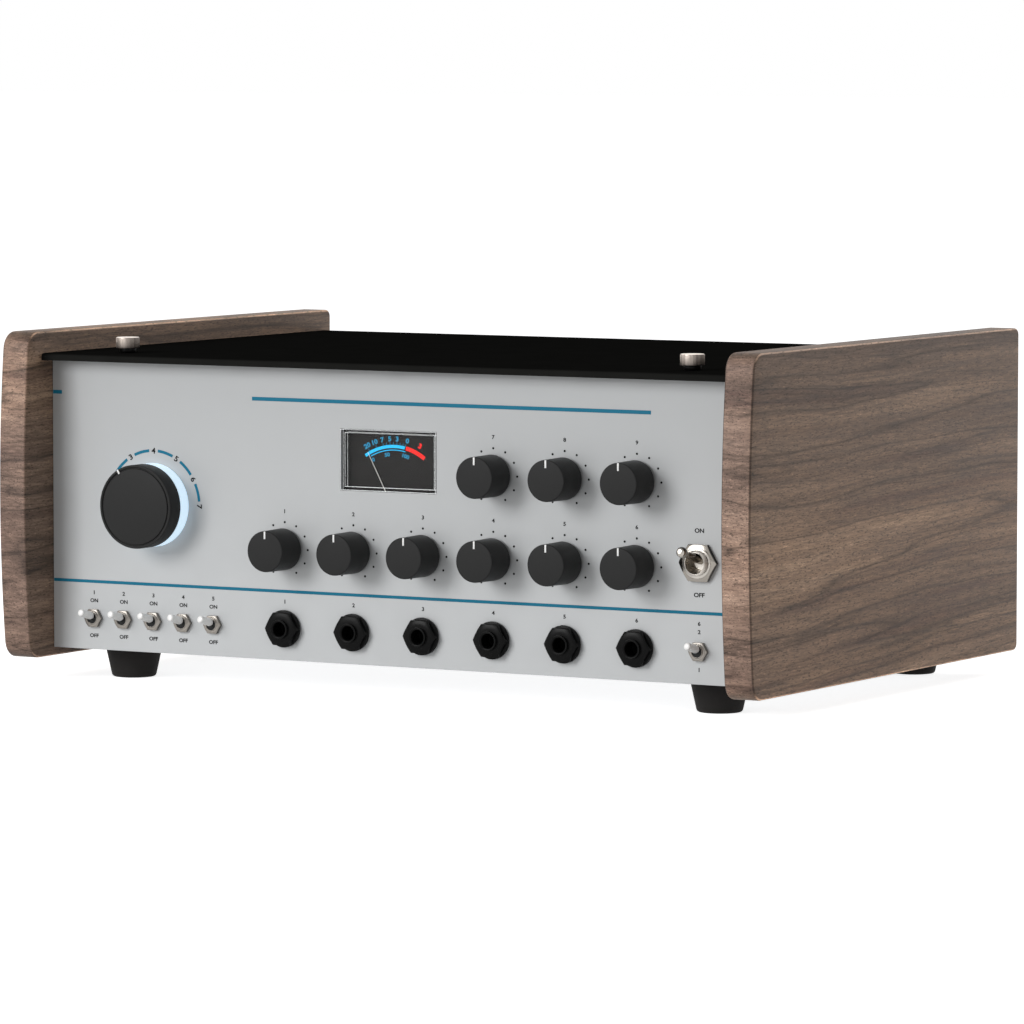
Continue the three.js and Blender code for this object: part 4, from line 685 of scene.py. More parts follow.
# %% [markdown]
# ## Side panels
# Each side panel is one walnut board whose front edge swells a little and runs into rounded
# corners. An outline of arcs, extruded and bevelled, is all it needs, and the bevel's four
# segments carry the thin painted highlight along the top.

# %% Side panels
def arc(centre, radius, start, end, steps):
    return [
        (centre[0] + radius * math.cos(start + (end - start) * i / steps),
         centre[1] + radius * math.sin(start + (end - start) * i / steps))
        for i in range(steps + 1)
    ]


def side_outline(low, high, bow=4.5 * MM, front_corner=9 * MM, rear_corner=3.5 * MM):
    """Outline of a side panel in (depth, height)."""
    middle = (low.z + high.z) / 2
    half = (high.z - low.z) / 2
    bow_radius = (half**2 + bow**2) / (2 * bow)
    bow_centre = low.y + bow_radius
    rise = half - front_corner
    corner_y = bow_centre - math.sqrt((bow_radius - front_corner) ** 2 - rise**2)
    lean = math.atan2(rise, bow_centre - corner_y)
    rear_y = high.y - rear_corner
    rear_rise = half - rear_corner
    quarter = math.pi / 2
    return (
        arc((corner_y, middle - rise), front_corner, math.pi + lean, 3 * quarter, 10)
        + arc((rear_y, middle - rear_rise), rear_corner, -quarter, 0, 8)
        + arc((rear_y, middle + rear_rise), rear_corner, 0, quarter, 8)
        + arc((corner_y, middle + rise), front_corner, quarter, math.pi - lean, 10)
        + arc((bow_centre, middle), bow_radius, math.pi - lean, math.pi + lean, 40)[1:-1]
    )


DEPTH_HEIGHT = Matrix(((0, 0, 1, 0), (1, 0, 0, 0), (0, 1, 0, 0), (0, 0, 0, 1)))
for side, wood in (("left", walnut_left), ("right", walnut_right)):
    low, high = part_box(f"{side}_side_panel")
    board = plate(side_outline(low, high), (low.x, 0, 0), high.x - low.x, DEPTH_HEIGHT, bevel=1.2 * MM)
    as_piece(f"walnut_{side}", board, wood, "case", "walnut", [f"{side}_side_panel"], sharp=50)
print("side panel depth:", round(high.y - low.y, 4), "m")

# %% [markdown]
# ## Front panel and its print
# The panel itself is the frame's solid with a satin paint. Its print is thin ink: two long
# stripes, arcs between the selector's numbers, a ring of dots round each knob, and plain numbers.
# Ink sits a twentieth of a millimetre proud of the paint, which is enough for it to be seen.

# %% Stripes
dress(panel_paint, "front_panel")
panel_low, panel_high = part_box("front_panel")
face_y = panel_low.y
ink, margin = mm(0.05, 0.2)
ink_y = face_y - 0.01 * MM
left_end, right_end = panel_low.x + margin, panel_high.x - margin
lower_z, lower_half, upper_z, upper_half = mm(48.2, 0.75, 139.4, 0.9)
upper_gap = mm(-183.9, -75.4)
upper_right = 140.5 * MM

stripes = bmesh.new()
for start, end, z, half in (
    (left_end, right_end, lower_z, lower_half),
    (left_end, upper_gap[0], upper_z, upper_half),
    (upper_gap[1], upper_right, upper_z, upper_half),
):
    block((start, ink_y - ink, z - half), (end, ink_y, z + half), 0, into=stripes)

selector = middle_of("selector_light_ring")
arc_radius, arc_half = mm(26, 0.7)
number_gap = math.radians(5.4)


def flat_arc(centre, radius, half, start, end, y, into, steps=16):
    """Adds a printed arc that lies in the panel's plane."""
    outline = arc((0, 0), radius + half, start, end, steps) + arc((0, 0), radius - half, end, start, steps)
    plate(outline, (centre.x, y, centre.z), ink, TO_FRONT, into=into)


for step in range(6):
    end = math.radians(180 - 30 * step) - number_gap
    start = math.radians(150 - 30 * step) + number_gap
    flat_arc(selector, arc_radius, arc_half, start, end, ink_y, stripes)
as_piece("blue_print", stripes, blue_ink, "case", "panel_paint")

# %% Dots round the knobs
knob_names = [f"knob_lower_{i + 1}" for i in range(6)] + [f"knob_upper_{i + 1}" for i in range(3)]
knob_places = [middle_of(name) for name in knob_names]
dot = turn([(0, 0), (0.55 * MM, 0), (0.55 * MM, ink), (0, ink)], (0, 0, 0), segments=20)
copies("knob_dots", ring_tree, [(place.x, ink_y, place.z) for place in knob_places], dot, black_ink,
       "case", "panel_paint", Count=11, Radius=12.8 * MM, First=math.radians(-60), Step=math.radians(30),
       Way=(math.pi / 2, 0, 0))
print("dots printed:", 11 * len(knob_places))

# %% Numbers and ON and OFF
def letters(text, cap_height, place, into, roll=0.0, weight=0.03, thick=ink, wide=1.15):
    """Adds generic lettering, centred on place and facing the front, to a mesh."""
    curve = bpy.data.curves.new("letters", "FONT")
    curve.body = text
    curve.align_x = "CENTER"
    curve.resolution_u = 4
    curve.offset = weight
    curve.fill_mode = "BOTH"
    curve.extrude = half_thick = 0.001
    carrier = bpy.data.objects.new("letters", curve)
    scene.collection.objects.link(carrier)
    mesh = evaluated_mesh(carrier)
    bpy.data.objects.remove(carrier)
    xs = [vert.co.x for vert in mesh.vertices]
    ys = [vert.co.y for vert in mesh.vertices]
    scale = cap_height / (max(ys) - min(ys))
    centre = Vector(((max(xs) + min(xs)) / 2, (max(ys) + min(ys)) / 2, 0))
    shape = Matrix.Diagonal((scale * wide, scale, thick / (2 * half_thick), 1)) @ Matrix.Translation(-centre)
    mesh.transform(Matrix.Translation(place) @ TO_FRONT @ Matrix.Rotation(roll, 4, "Z") @ shape)
    into.from_mesh(mesh)
    bpy.data.meshes.remove(mesh)


words = bmesh.new()


def printed(text, x, z, cap_height=1.9 * MM, roll=0.0):
    letters(str(text), cap_height, (x, ink_y - ink / 2, z), words, roll)


for step in range(7):
    angle = math.radians(180 - 30 * step)
    printed(step + 1, selector.x + arc_radius * math.cos(angle), selector.z + arc_radius * math.sin(angle),
            2.8 * MM, angle - math.pi / 2)
for number, place in enumerate(knob_places):
    printed(number + 1, place.x, place.z + 18 * MM)
for number in range(6):
    place = middle_of(f"jack_{number + 1}")
    printed(number + 1, place.x, place.z + 12.8 * MM)
mode_places = [middle_of(f"mode_switch_lever_{number + 1}") for number in range(5)]
level = middle_of("level_switch_body")
power = middle_of("power_switch_body")
jack_z = middle_of("jack_1").z
for number, place in enumerate(mode_places):
    for text, above in ((number + 1, 12.4), ("ON", 8.5), ("OFF", -8.5)):
        printed(text, place.x, jack_z + above * MM)
for text, above in ((6, 12.8), (2, 9), (1, -8.4)):
    printed(text, level.x, jack_z + above * MM)
for text, above in (("ON", 14.8), ("OFF", -14.8)):
    printed(text, power.x, power.z + above * MM, 2.1 * MM)
as_piece("panel_numbers", words, black_ink, "case", "panel_paint")

# %% [markdown]
# ## Lid
# The lid is one sheet, bent down in front and behind. Its section shows the two bends as small
# arcs, and extruding that section across the case gives the whole lid. It is as wide as the front
# panel, and its front lip stands a little further forward than the frame's plain sheet.

# %% Lid
def lid_section(low, high, sheet=1.5 * MM, bend=1.6 * MM, inner_bend=0.3 * MM):
    """Section of the lid in (depth, height), with rounded bends in front and behind."""
    outer = arc((low.y + bend, high.z - bend), bend, math.pi, math.pi / 2, 6)
    outer += arc((high.y - bend, high.z - bend), bend, math.pi / 2, 0, 6)
    inset = sheet + inner_bend
    inner = arc((high.y - inset, high.z - inset), inner_bend, 0, math.pi / 2, 3)
    inner += arc((low.y + inset, high.z - inset), inner_bend, math.pi / 2, math.pi, 3)
    rear_foot = [(high.y, low.z), (high.y - sheet, low.z)]
    front_foot = [(low.y + sheet, low.z), (low.y, low.z)]
    return list(reversed(outer + rear_foot + inner + front_foot))


lid_low, lid_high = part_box("top_lid")
lip_reach = 1.8 * MM
lid_low = Vector((panel_low.x, lid_low.y - lip_reach, lid_low.z))
lid_wide = panel_high.x - panel_low.x
lid = plate(lid_section(lid_low, lid_high), (lid_low.x, 0, 0), lid_wide, DEPTH_HEIGHT, bevel=0.15 * MM)
as_piece("lid_sheet", lid, lid_paint, "lid", "lid_paint", ["top_lid"])
print("lid width:", round(lid_wide, 4), "m")

# %% [markdown]
# ## Thumbscrews
# Each thumbscrew is a turned nickel head on a black collar. The knurl is a ring of narrow
# ridges, copied round the head by the first tree.

# %% Thumbscrews
head_tall = 5.2
ridge_count = 54
head_profile = soft([(0, 0), (5.6, 0), (5.6, head_tall - 0.1), (5.2, head_tall), (0, head_tall)], 0.2)
for side in ("left", "right"):
    node = f"lid_screw_{side}"
    low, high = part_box(node)
    head_z = high.z - head_tall * MM
    place = axis_of(node, head_z)
    as_piece(f"thumbscrew_head_{side}", turn(head_profile, place), knurled_nickel, node, "nickel", [node])
    ridge = block(*mm((-0.3, -0.15, 0.15), (0.15, 0.15, head_tall - 0.45)), 0.06 * MM)
    copies(f"thumbscrew_knurl_{side}", ring_tree, [place], ridge, knurled_nickel, node, "nickel",
           Count=ridge_count, Radius=5.58 * MM, Step=2 * math.pi / ridge_count)
    tip, shoulder = (low.z - head_z) / MM, (lid_high.z - head_z) / MM + 0.3
    collar = soft([(0, tip), (1.9, tip), (1.9, shoulder), (4.1, shoulder), (4.1, 0), (0, 0)], 0.3)
    as_piece(f"thumbscrew_collar_{side}", turn(collar, place), jack_black, node, "nickel")


# %% [markdown]
# ## Feet
# Moulded rubber feet taper towards the table and have a deep recess for their screw. The recess
# is part of the profile, and a pan-head screw sits at its end.

# %% Feet
for node in ("foot_front_left", "foot_front_right", "foot_rear_left", "foot_rear_right"):
    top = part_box(node)[1].z / MM
    rubber = soft([(0, 7), (4, 7), (4, 0), (10.6, 0), (13.9, top), (0, top)], 1.5, 4)
    as_piece(f"rubber_{node}", turn(rubber, axis_of(node)), foot_rubber, "case", "foot_rubber", [node])
    screw = soft([(0, 4.6), (2.2, 4.9), (3.2, 6.2), (3.2, 6.9), (0, 6.9)], 0.3)
    as_piece(f"screw_{node}", turn(screw, axis_of(node), segments=32), nickel, "case", "nickel")
print("feet height:", round(top, 1), "mm")

# %% [markdown]
# ## Selector and its lit ring
# The selector is a large flat knob with a turned groove near its rim and a short white mark. It
# stands on a translucent ring with lamps inside. The ring is an emitter just strong enough to
# look lit and to throw a cold glow on the paint beside it.

# %% Lit ring
def lit_plastic(name, colour, power, specular=0.5):
    """A plain finish that glows in its own colour."""
    material = finish(name, colour, 0.35, mottle=0.01, grain=0.02, specular=specular)
    glow = {"Emission Color": screen_colour(colour), "Emission Strength": power}
    set_inputs(material.node_tree.nodes["Principled BSDF"], glow)
    return material


ring_light = lit_plastic("ring_light", "c6dcec", 0.74)
selector_place = (selector.x, face_y, selector.z)
ring = turn(mm((14, 0.3), (20.05, 0.3), (20.05, 7), (14, 7), (14, 0.3)), selector_place, TO_FRONT, 120)
as_piece("lit_ring", ring, ring_light, "case", "light_plastic", ["selector_light_ring"])

# %% Selector knob
selector_profile = soft(
    [(0, -10), (3, -10), (3, 7.3), (20.1, 7.3), (20.1, 16.5), (18.9, 16.5), (18.9, 15.8), (18.2, 15.8),
     (18.2, 16.45), (0, 16.45)],
    0.45,
)
knob = turn(selector_profile, selector_place, TO_FRONT, 120)
as_piece("selector_body", knob, knob_black, "selector", "knob_plastic", ["selector_knob"])
mark_angle = math.radians(120)  # from the right, on the step where the knob rests
mark = block(*mm((17.9, -0.45, 16.1), (20.15, 0.45, 16.55)), 0.08 * MM)
move(mark, Matrix.Translation(selector_place) @ TO_FRONT @ Matrix.Rotation(mark_angle, 4, "Z"))
as_piece("selector_mark", mark, pointer_white, "selector", "knob_plastic")

# %% [markdown]
# ## Small knobs
# The nine knobs are the same moulding, a plain cylinder that tapers a little towards its face,
# with a white pointer let into the face at the top. A loop sets one on each shaft.

# %% Small knobs
def near(place, x, y, z):
    """The point that lies so many millimetres from a place."""
    return Vector(place) + Vector(mm(x, y, z))


knob_profile = soft([(0, -10), (3, -10), (3, 1.2), (10, 1.2), (9.75, 18.1), (0, 18.1)], 0.7, 4)
for name, middle in zip(knob_names, knob_places):
    place = (middle.x, face_y, middle.z)
    as_piece(f"{name}_body", turn(knob_profile, place, TO_FRONT, 96), knob_black, name, "knob_plastic", [name])
    pointer = block(near(place, -0.45, -18.2, 6), near(place, 0.45, -17.3, 9.6), 0.08 * MM)
    as_piece(f"{name}_pointer", pointer, pointer_white, name, "knob_plastic")
print("knobs:", len(knob_names))

# %% [markdown]
# ## Hexagon nuts
# A real nut's corners are turned off to a cone, so its top face is a circle with six shallow
# scallops below it. The nut is built ring by ring: each point of the outer ring stands at the
# hexagon's distance for its angle, and its top drops by how far it sticks out past the circle.

# %% Nut
def nut(flats, low, high, bore, place, into, segments=96):
    """Adds a chamfered hexagon nut that faces the front, with two corners level."""
    to_place = Matrix.Translation(place) @ TO_FRONT
    half = flats / 2
    rings = []
    for i in range(segments):
        angle = 2 * math.pi * i / segments
        reach = half / math.cos((angle % (math.pi / 3)) - math.pi / 6)
        drop = max(0, reach - half * 0.98) * math.tan(math.radians(30))
        section = [(bore, low), (reach, low), (reach, high - drop), (half * 0.98, high), (bore, high)]
        spots = [Vector((radius * math.cos(angle), radius * math.sin(angle), z)) for radius, z in section]
        rings.append([into.verts.new(to_place @ spot) for spot in spots])
    for i, ring in enumerate(rings):
        following = rings[(i + 1) % segments]
        for k in range(5):
            m = (k + 1) % 5
            into.faces.new([ring[k], following[k], following[m], ring[m]])


# %% [markdown]
# ## Jacks
# A panel jack is a black moulded body behind the panel. In front it shows a round flange, a
# hexagon nut and a short threaded collar with a deep bore, where spring contacts wait.

# %% Jacks
jack_sleeve = soft(
    [(0, -22), (3.3, -22), (3.3, 5.4), (3.9, 6), (4.6, 6), (4.6, 2), (8.9, 2), (8.9, 0.3), (5.6, 0.3),
     (5.6, -3.4), (4.6, -23), (0, -23)],
    0.25,
    2,
)
for number in range(6):
    node = f"jack_{number + 1}"
    low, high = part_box(node)
    middle = middle_of(node)
    place = (middle.x, face_y, middle.z)
    body = turn(list(reversed(jack_sleeve)), place, TO_FRONT, 64)
    nut(*mm(15.4, 1.9, 4.6, 4.5), place, body)
    inset = 0.4 * MM
    block((low.x + inset, face_y + 2.3 * MM, low.z + inset), (high.x - inset, high.y, high.z - inset),
          0.6 * MM, into=body)
    as_piece(f"{node}_moulding", body, jack_black, "case", "jack_plastic", [node])
print("last jack at x:", round(middle.x, 4), "m")

# %% [markdown]
# ## Toggle switches
# The switches differ only in size, so one function builds them from a few measures: nut,
# threaded bushing with a mouth, body behind the panel, and a lever that stands at the angle of
# its rest position. The threads are a zigzag in the bushing's profile.

# %% Toggle switch
def threaded(radius, low, high, pitch):
    """Profile of a thread as a zigzag, from low to high."""
    count = max(2, round((high - low) / pitch))
    step = (high - low) / count
    points = []
    for i in range(count):
        points += [(radius * 0.94, low + i * step), (radius, low + (i + 0.5) * step)]
    return points + [(radius * 0.94, high)]


def switch_front(place, bushing, reach, flats, nut_high, mouth, into=None, nuts=None):
    """Adds the bushing and the nut of a toggle switch, with its measures in millimetres."""
    build = into or bmesh.new()
    bushing, reach, flats, nut_high, mouth = mm(bushing, reach, flats, nut_high, mouth)
    foot, chamfer, pitch, lift = mm(-2.3, 0.3, 0.5, 0.15)
    outer = threaded(bushing, foot, reach - chamfer, pitch)
    inner = [(bushing * 0.88, reach), (mouth, reach), (mouth * 0.62, -1 * MM), (0, -1.2 * MM)]
    turn([(0, foot)] + outer + inner, place, TO_FRONT, 48, into=build)
    bore = bushing * 0.96
    nut(flats, 0.3 * MM, nut_high, bore, place, nuts or build)
    washer = [(bore, nut_high), (bushing * 1.22, nut_high), (bushing * 1.18, nut_high + lift),
              (bore, nut_high + lift), (bore, nut_high)]
    turn(washer, place, TO_FRONT, 48, into=build)
    return build


def lever(place, pivot, tilt, profile):
    """A turned lever that leans up by tilt, in degrees, about a pivot behind the panel's face."""
    build = turn(profile, (0, 0, 0), UP, 32)
    lean = Matrix.Rotation(-math.radians(tilt), 4, "X") @ TO_FRONT
    move(build, Matrix.Translation((place[0], place[1] + pivot, place[2])) @ lean)
    return build


# %% Small switches
small_lever = soft([(0, -1.7), (1.2, -1.7), (1.2, 5), (1.95, 5.6), (1.75, 11), (1.7, 14.6), (0, 14.6)], 1.4, 4)
small_seal = mm((0, 1.9), (2.55, 1.9), (2.6, 2.2), (1.2, 2.2), (0, 2.2))
small_pivot, small_tilt = 2 * MM, 14


def small_switch(place, fronts, seals, bodies):
    """Adds a small switch to three builds and returns its lever."""
    switch_front(place, 3.2, 2.6, 8.5, 2, 2.6, into=fronts)
    turn(small_seal, place, TO_FRONT, 32, into=seals)
    block(near(place, -4, 2.4, -6.5), near(place, 4, 11.3, 6.5), 0.3 * MM, into=bodies)
    return lever(place, small_pivot, small_tilt, small_lever)


mode_fronts, mode_seals, mode_bodies = bmesh.new(), bmesh.new(), bmesh.new()
for number, middle in enumerate(mode_places):
    name = f"mode_switch_lever_{number + 1}"
    bat = small_switch((middle.x, face_y, jack_z), mode_fronts, mode_seals, mode_bodies)
    as_piece(f"{name}_bat", bat, lever_white, name, "nickel", [name])
low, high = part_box("mode_switch_board")
card = block((low.x, high.y - 1.6 * MM, low.z), high)
as_piece("mode_switch_fronts", mode_fronts, satin_nickel, "case", "nickel", ["mode_switch_board"])
as_piece("mode_switch_seals", mode_seals, case_black, "case", "nickel")
as_piece("mode_switch_bodies", mode_bodies, case_black, "case", "nickel")
as_piece("mode_switch_card", card, board_green, "case", "green_board")

level_front, level_seal = bmesh.new(), bmesh.new()
level_bat = small_switch((level.x, face_y, jack_z), level_front, level_seal, level_front)
as_piece("level_switch_seal", level_seal, case_black, "case", "nickel")
as_piece("level_switch_front", level_front, satin_nickel, "case", "nickel", ["level_switch_body"])
as_piece("level_switch_bat", level_bat, lever_white, "level_switch_lever", "nickel", ["level_switch_lever"])

# %% Power switch
power_place = (power.x, face_y, power.z)
power_nut = bmesh.new()
power_front = switch_front(power_place, 5.9, 5, 17, 2.6, 4.9, nuts=power_nut)
low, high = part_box("power_switch_body")
body_half = 9 * MM
block((power.x - body_half, face_y + 2.4 * MM, low.z), (power.x + body_half, high.y, high.z), 0.5 * MM,
      into=power_front)
as_piece("power_switch_front", power_front, bushing_nickel, "case", "nickel", ["power_switch_body"])
as_piece("power_switch_nut", power_nut, nickel, "case", "nickel")
power_lever = soft(
    [(0, -2.4), (1.7, -2.4), (2, 9), (1.5, 19), (2.5, 21.5), (2.45, 23.8), (1.4, 25), (0, 25)], 1.2, 4
)
power_pivot, power_tilt = 5 * MM, 15.5
power_bat = lever(power_place, power_pivot, power_tilt, power_lever)
as_piece("power_switch_bat", power_bat, lever_nickel, "power_switch_lever", "nickel", ["power_switch_lever"])
print("switches:", len(mode_places) + 2)

# %% [markdown]
# ## Meter
# The dial is a dark card behind a clear cover. Its scales are flat arcs, pale blue up to the
# middle and red above it, with plain numbers, and the needle is a thin pale pointer that swings
# round a pivot below the window. The scales glow faintly, as a lit meter's do.

# %% Meter
dial_card = finish("dial_card", "2b2928", 0.7, mottle=0.06, grain=0.1, specular=0.05)
dial_blue = lit_plastic("dial_blue", "2cb0e2", 0.6, 0.05)
dial_pale = lit_plastic("dial_pale", "2f8ab2", 0.45, 0.05)
dial_red = lit_plastic("dial_red", "e22b27", 0.75, 0.05)
dress(case_black, "meter_case")
low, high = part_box("meter_case")
dial_y = low.y + 1.8 * MM
scale_y = dial_y - 0.2 * MM
inset = 2.2 * MM
dial = block((low.x + inset, scale_y, low.z + inset), (high.x - inset, dial_y - ink, high.z - inset), 0)
as_piece("dial_face", dial, dial_card, "case", "meter_plastic")

# %% Scales of the dial
scale_centre = Vector((0, 0, 90.5 * MM))
blue_scale, pale_scale, red_scale = bmesh.new(), bmesh.new(), bmesh.new()


def scale_arc(radius, half, right, left, into, steps=24):
    """Adds an arc between two angles, in degrees to the right and to the left of upright."""
    start, end = math.pi / 2 - math.radians(right), math.pi / 2 + math.radians(left)
    flat_arc(scale_centre, radius * MM, half * MM, start, end, scale_y, into, steps)


def scale_place(radius, degrees):
    """The point at that radius, in millimetres, and that angle right of upright."""
    angle = math.pi / 2 - math.radians(degrees)
    x, z = radius * MM * math.cos(angle), radius * MM * math.sin(angle)
    return (x, scale_y - ink / 2, scale_centre.z + z)


def dial_number(text, degrees, radius, cap_height, into):
    """Adds a number that stands along the scale. The lengths are in millimetres."""
    place = scale_place(radius, degrees)
    letters(text, cap_height * MM, place, into, roll=-math.radians(degrees), weight=0.035)


scale_arc(28.3, 0.75, 11.5, 34, blue_scale)
scale_arc(26.6, 0.2, 13, 29, blue_scale)
scale_arc(28.3, 0.95, 35.4, -13, red_scale, 16)
for text, degrees in (("20", -27.9), ("10", -19.6), ("7", -12), ("5", -4.7), ("3", 2.7), ("0", 12.9)):
    dial_number(text, degrees, 31.9, 2.4, pale_scale)
for text, degrees in (("0", -28.1), ("50", -9.2), ("100", 14.7)):
    dial_number(text, degrees, 24.6, 1.9, pale_scale)
dial_number("3", 25.9, 32.1, 2.6, red_scale)
for degrees in (-27.9, -19.6, -12, -8.4, -4.7, -1, 2.7, 6, 9.2, 12):
    x, _, z = scale_place(28.6, degrees)
    tick = block(*mm((-0.1, -0.05, 0), (0.1, 0, 1.6)), 0)
    move(tick, Matrix.Translation((x, scale_y, z)) @ Matrix.Rotation(math.radians(degrees), 4, "Y"))
    pale_scale.from_mesh(mesh_of("tick", tick))
as_piece("dial_scale_blue", blue_scale, dial_blue, "case", "meter_plastic")
as_piece("dial_numbers", pale_scale, dial_pale, "case", "meter_plastic")
as_piece("dial_scale_red", red_scale, dial_red, "case", "meter_plastic")

# %% Needle
needle_white = finish("needle_white", "f4f2ee", 0.45, mottle=0.01)
pivot = (0, dial_y - 0.9 * MM, 89.1 * MM)
rest = math.radians(-28)
blade = mm((-0.4, -4), (0.4, -4), (0.17, 8), (0.1, 30), (-0.1, 30), (-0.17, 8))
needle = plate(blade, (0, 0, 0), 0.2 * MM)
turn(soft([(0, -0.2), (1.8, -0.2), (1.8, 0.45), (0, 0.45)], 0.15), (0, 0, 0), segments=32, into=needle)
turn(mm((0, -5), (0.8, -5), (0.8, -0.1), (0, -0.1)), (0, 0, 0), segments=24, into=needle)
move(needle, Matrix.Translation(pivot) @ Matrix.Rotation(rest, 4, "Y") @ TO_FRONT)
as_piece("needle_blade", needle, needle_white, "needle", "needle_paint", ["meter_needle"])
print("needle pivot:", [round(value, 4) for value in pivot])

# %% Clear plastic
def clear(name, colour, haze, glow=0.0):
    """Clear moulded plastic: it lets the light straight through, and its edges are painted pale and less clear,
    with a glow on them, as a painted highlight.
    """
    material, tree, surface = new_material(name)
    cloud = noise(tree, place_on(tree), 60.0, 3.0)
    edge = on_edges(tree, rounded_normal(tree, 0.5 * MM), 0.85, 0.8)
    set_inputs(surface, {
        "Base Color": screen_colour(colour), "Roughness": 0.04,
        "Alpha": maths(tree, "ADD", spread(tree, cloud, 0, 1, haze, 1.5 * haze), edge),
        "Emission Color": white, "Emission Strength": maths(tree, "MULTIPLY", edge, glow),
    })
    return material


# the meter cover's glowing edges are a painted highlight
meter_clear = clear("meter_clear", "e8eef0", 0.008, glow=1.2)
cover_clear = clear("cover_clear", "dfe6e8", 0.03)
dress(meter_clear, "meter_cover")
dress(cover_clear, "tape_bin_cover")

# %% [markdown]
# ## Chassis, deck and what stands on it
# Folded sheet and plates keep the frame's own solids and get their metal. The round parts of the
# transport are turned again with more segments, because they are seen close up when the lid is
# open.

# %% Sheet metal and plates
dress(zinc_sheet, "chassis_tray", "spring_tank")
dress(brushed_deck, "deck_plate", "head_plate")
dress(head_shell, "erase_head", "record_head", "playback_heads")
dress(ground_steel, "pinch_arm")
dress(bin_grey, "tape_bin")
dress(case_black, "power_inlet")
dress(roller_rubber, "drive_belt")
dress(board_green, "control_board")
control = nodes["control_board"].data
control.materials.append(zinc_sheet)
board_face_y = face_y + 15 * MM
for face in control.polygons:
    face.material_index = int(face.center.y < board_face_y - 0.1 * MM)


# %% [markdown]
# ## Screws
# Pan-head screws hold the deck and the mains inlet. The head is one small turned profile, and the
# first tree sets a copy of it at each place.

# %% Screws of the deck and the inlet
def screw_heads(name, places, way, radius):
    """Sets pan-head screws with a recess at those places. The radius is in millimetres."""
    outline = [(0, 0), (1, 0), (0.93, 0.45), (0.45, 0.72), (0.3, 0.3), (0, 0.3)]
    head = soft([(across * radius, up * radius) for across, up in outline], radius * 0.2)
    copies(name, ring_tree, places, turn(head, (0, 0, 0), segments=24), nickel, "case", "nickel",
           Count=1, Way=way)


low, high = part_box("deck_plate")
inset = 5 * MM
deck_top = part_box("head_plate")[0].z - 0.3 * MM
deck_xs = [low.x + share * (high.x - low.x) for share in (0.03, 0.35, 0.65, 0.97)]
deck_places = [(x, y, deck_top) for x in deck_xs for y in (low.y + inset, high.y - inset)]
screw_heads("deck_screws", deck_places, (0, 0, 0), 2.6)
inlet = middle_of("power_inlet")
inlet_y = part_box("power_inlet")[1].y
inlet_places = [(inlet.x + side * 20 * MM, inlet_y, inlet.z) for side in (-1, 1)]
screw_heads("inlet_screws", inlet_places, (-math.pi / 2, 0, 0), 2.4)
print("screws added:", len(deck_places) + len(inlet_places))

# %% Capstan, flywheel and motor
low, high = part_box("capstan_flywheel")
bottom, tip = low.z / MM, high.z / MM
top = deck_top / MM - 8
under = top - 12
recess = top - 3
flywheel = soft(
    [(0, bottom), (2, bottom), (2, under), (32, under), (32, top), (26, top), (26, recess), (8, recess),
     (8, top), (2, top), (2, tip), (0, tip)],
    0.4,
)
capstan = axis_of("capstan_flywheel")
as_piece("flywheel_turned", turn(flywheel, capstan, UP, 120), ground_steel, "flywheel", "turned_steel",
         ["capstan_flywheel"])

low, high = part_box("capstan_motor")
tall = (high.z - low.z) / MM
top = tall - 2
motor_can = soft(
    [(0, 12.3), (1.8, 12.3), (1.8, 0), (18, 0), (18, 3), (17.4, 3.4), (17.4, top - 5), (18, top - 4.6),
     (18, top), (5, top), (5, tall), (0, tall)],
    0.9,
)
as_piece("motor_can", turn(motor_can, axis_of("capstan_motor", low.z), UP, 96), ground_steel, "case",
         "turned_steel", ["capstan_motor"])

low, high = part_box("motor_pulley")
tall = (high.z - low.z) / MM
pulley = soft(
    [(0, 0), (7.5, 0), (7.5, 1), (6, 1), (6, 5.6), (7.5, 5.6), (7.5, 6.6), (1.5, 6.6), (1.5, tall), (0, tall)],
    0.2,
)
as_piece("pulley_turned", turn(pulley, axis_of("capstan_motor", low.z)), brass, "pulley", "deck_aluminium",
         ["motor_pulley"])


# %% Pinch roller
low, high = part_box("pinch_roller")
tall = (high.z - low.z) / MM
tyre = soft([(1.8, 0), (11, 0), (11, tall), (1.8, tall)], 0.5)
as_piece("roller_tyre", turn(tyre + tyre[:1], axis_of("pinch_roller", low.z), UP, 96), roller_rubber,
         "pinch_roller", "belt_rubber", ["pinch_roller"])
print("roller height:", round(tall, 1), "mm")

# %% [markdown]
# ## The endless tape
# A loop of tape runs past the heads, round two guides and back into the bin, where it lies in
# loose folds. Its path is a rule: straight runs, half circles between them, and a slow wave.
# The third tree sweeps the tape's thin section along it.

# %% Tape loop
tape_low, tape_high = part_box("tape_loop")
bin_low, bin_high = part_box("tape_bin")
tape_wide, tape_thick, turn_inset, wave = mm(6.35, 0.24, 12, 1.4)
guide_radius, guide_gap, folds_deep = mm(5.5, 27, 111)
folds = 12
line_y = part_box("erase_head")[0].y - 0.5 * MM
return_y = line_y + folds_deep
fold_radius = folds_deep / (folds - 1) / 2
left_x = bin_low.x + turn_inset
right_x = bin_high.x - turn_inset
guide_x = capstan[0] + guide_gap


def swing(x):
    """How far the slow wave of a fold leaves its straight line."""
    return wave * math.sin(2 * math.pi * (x - right_x) / (right_x - left_x))


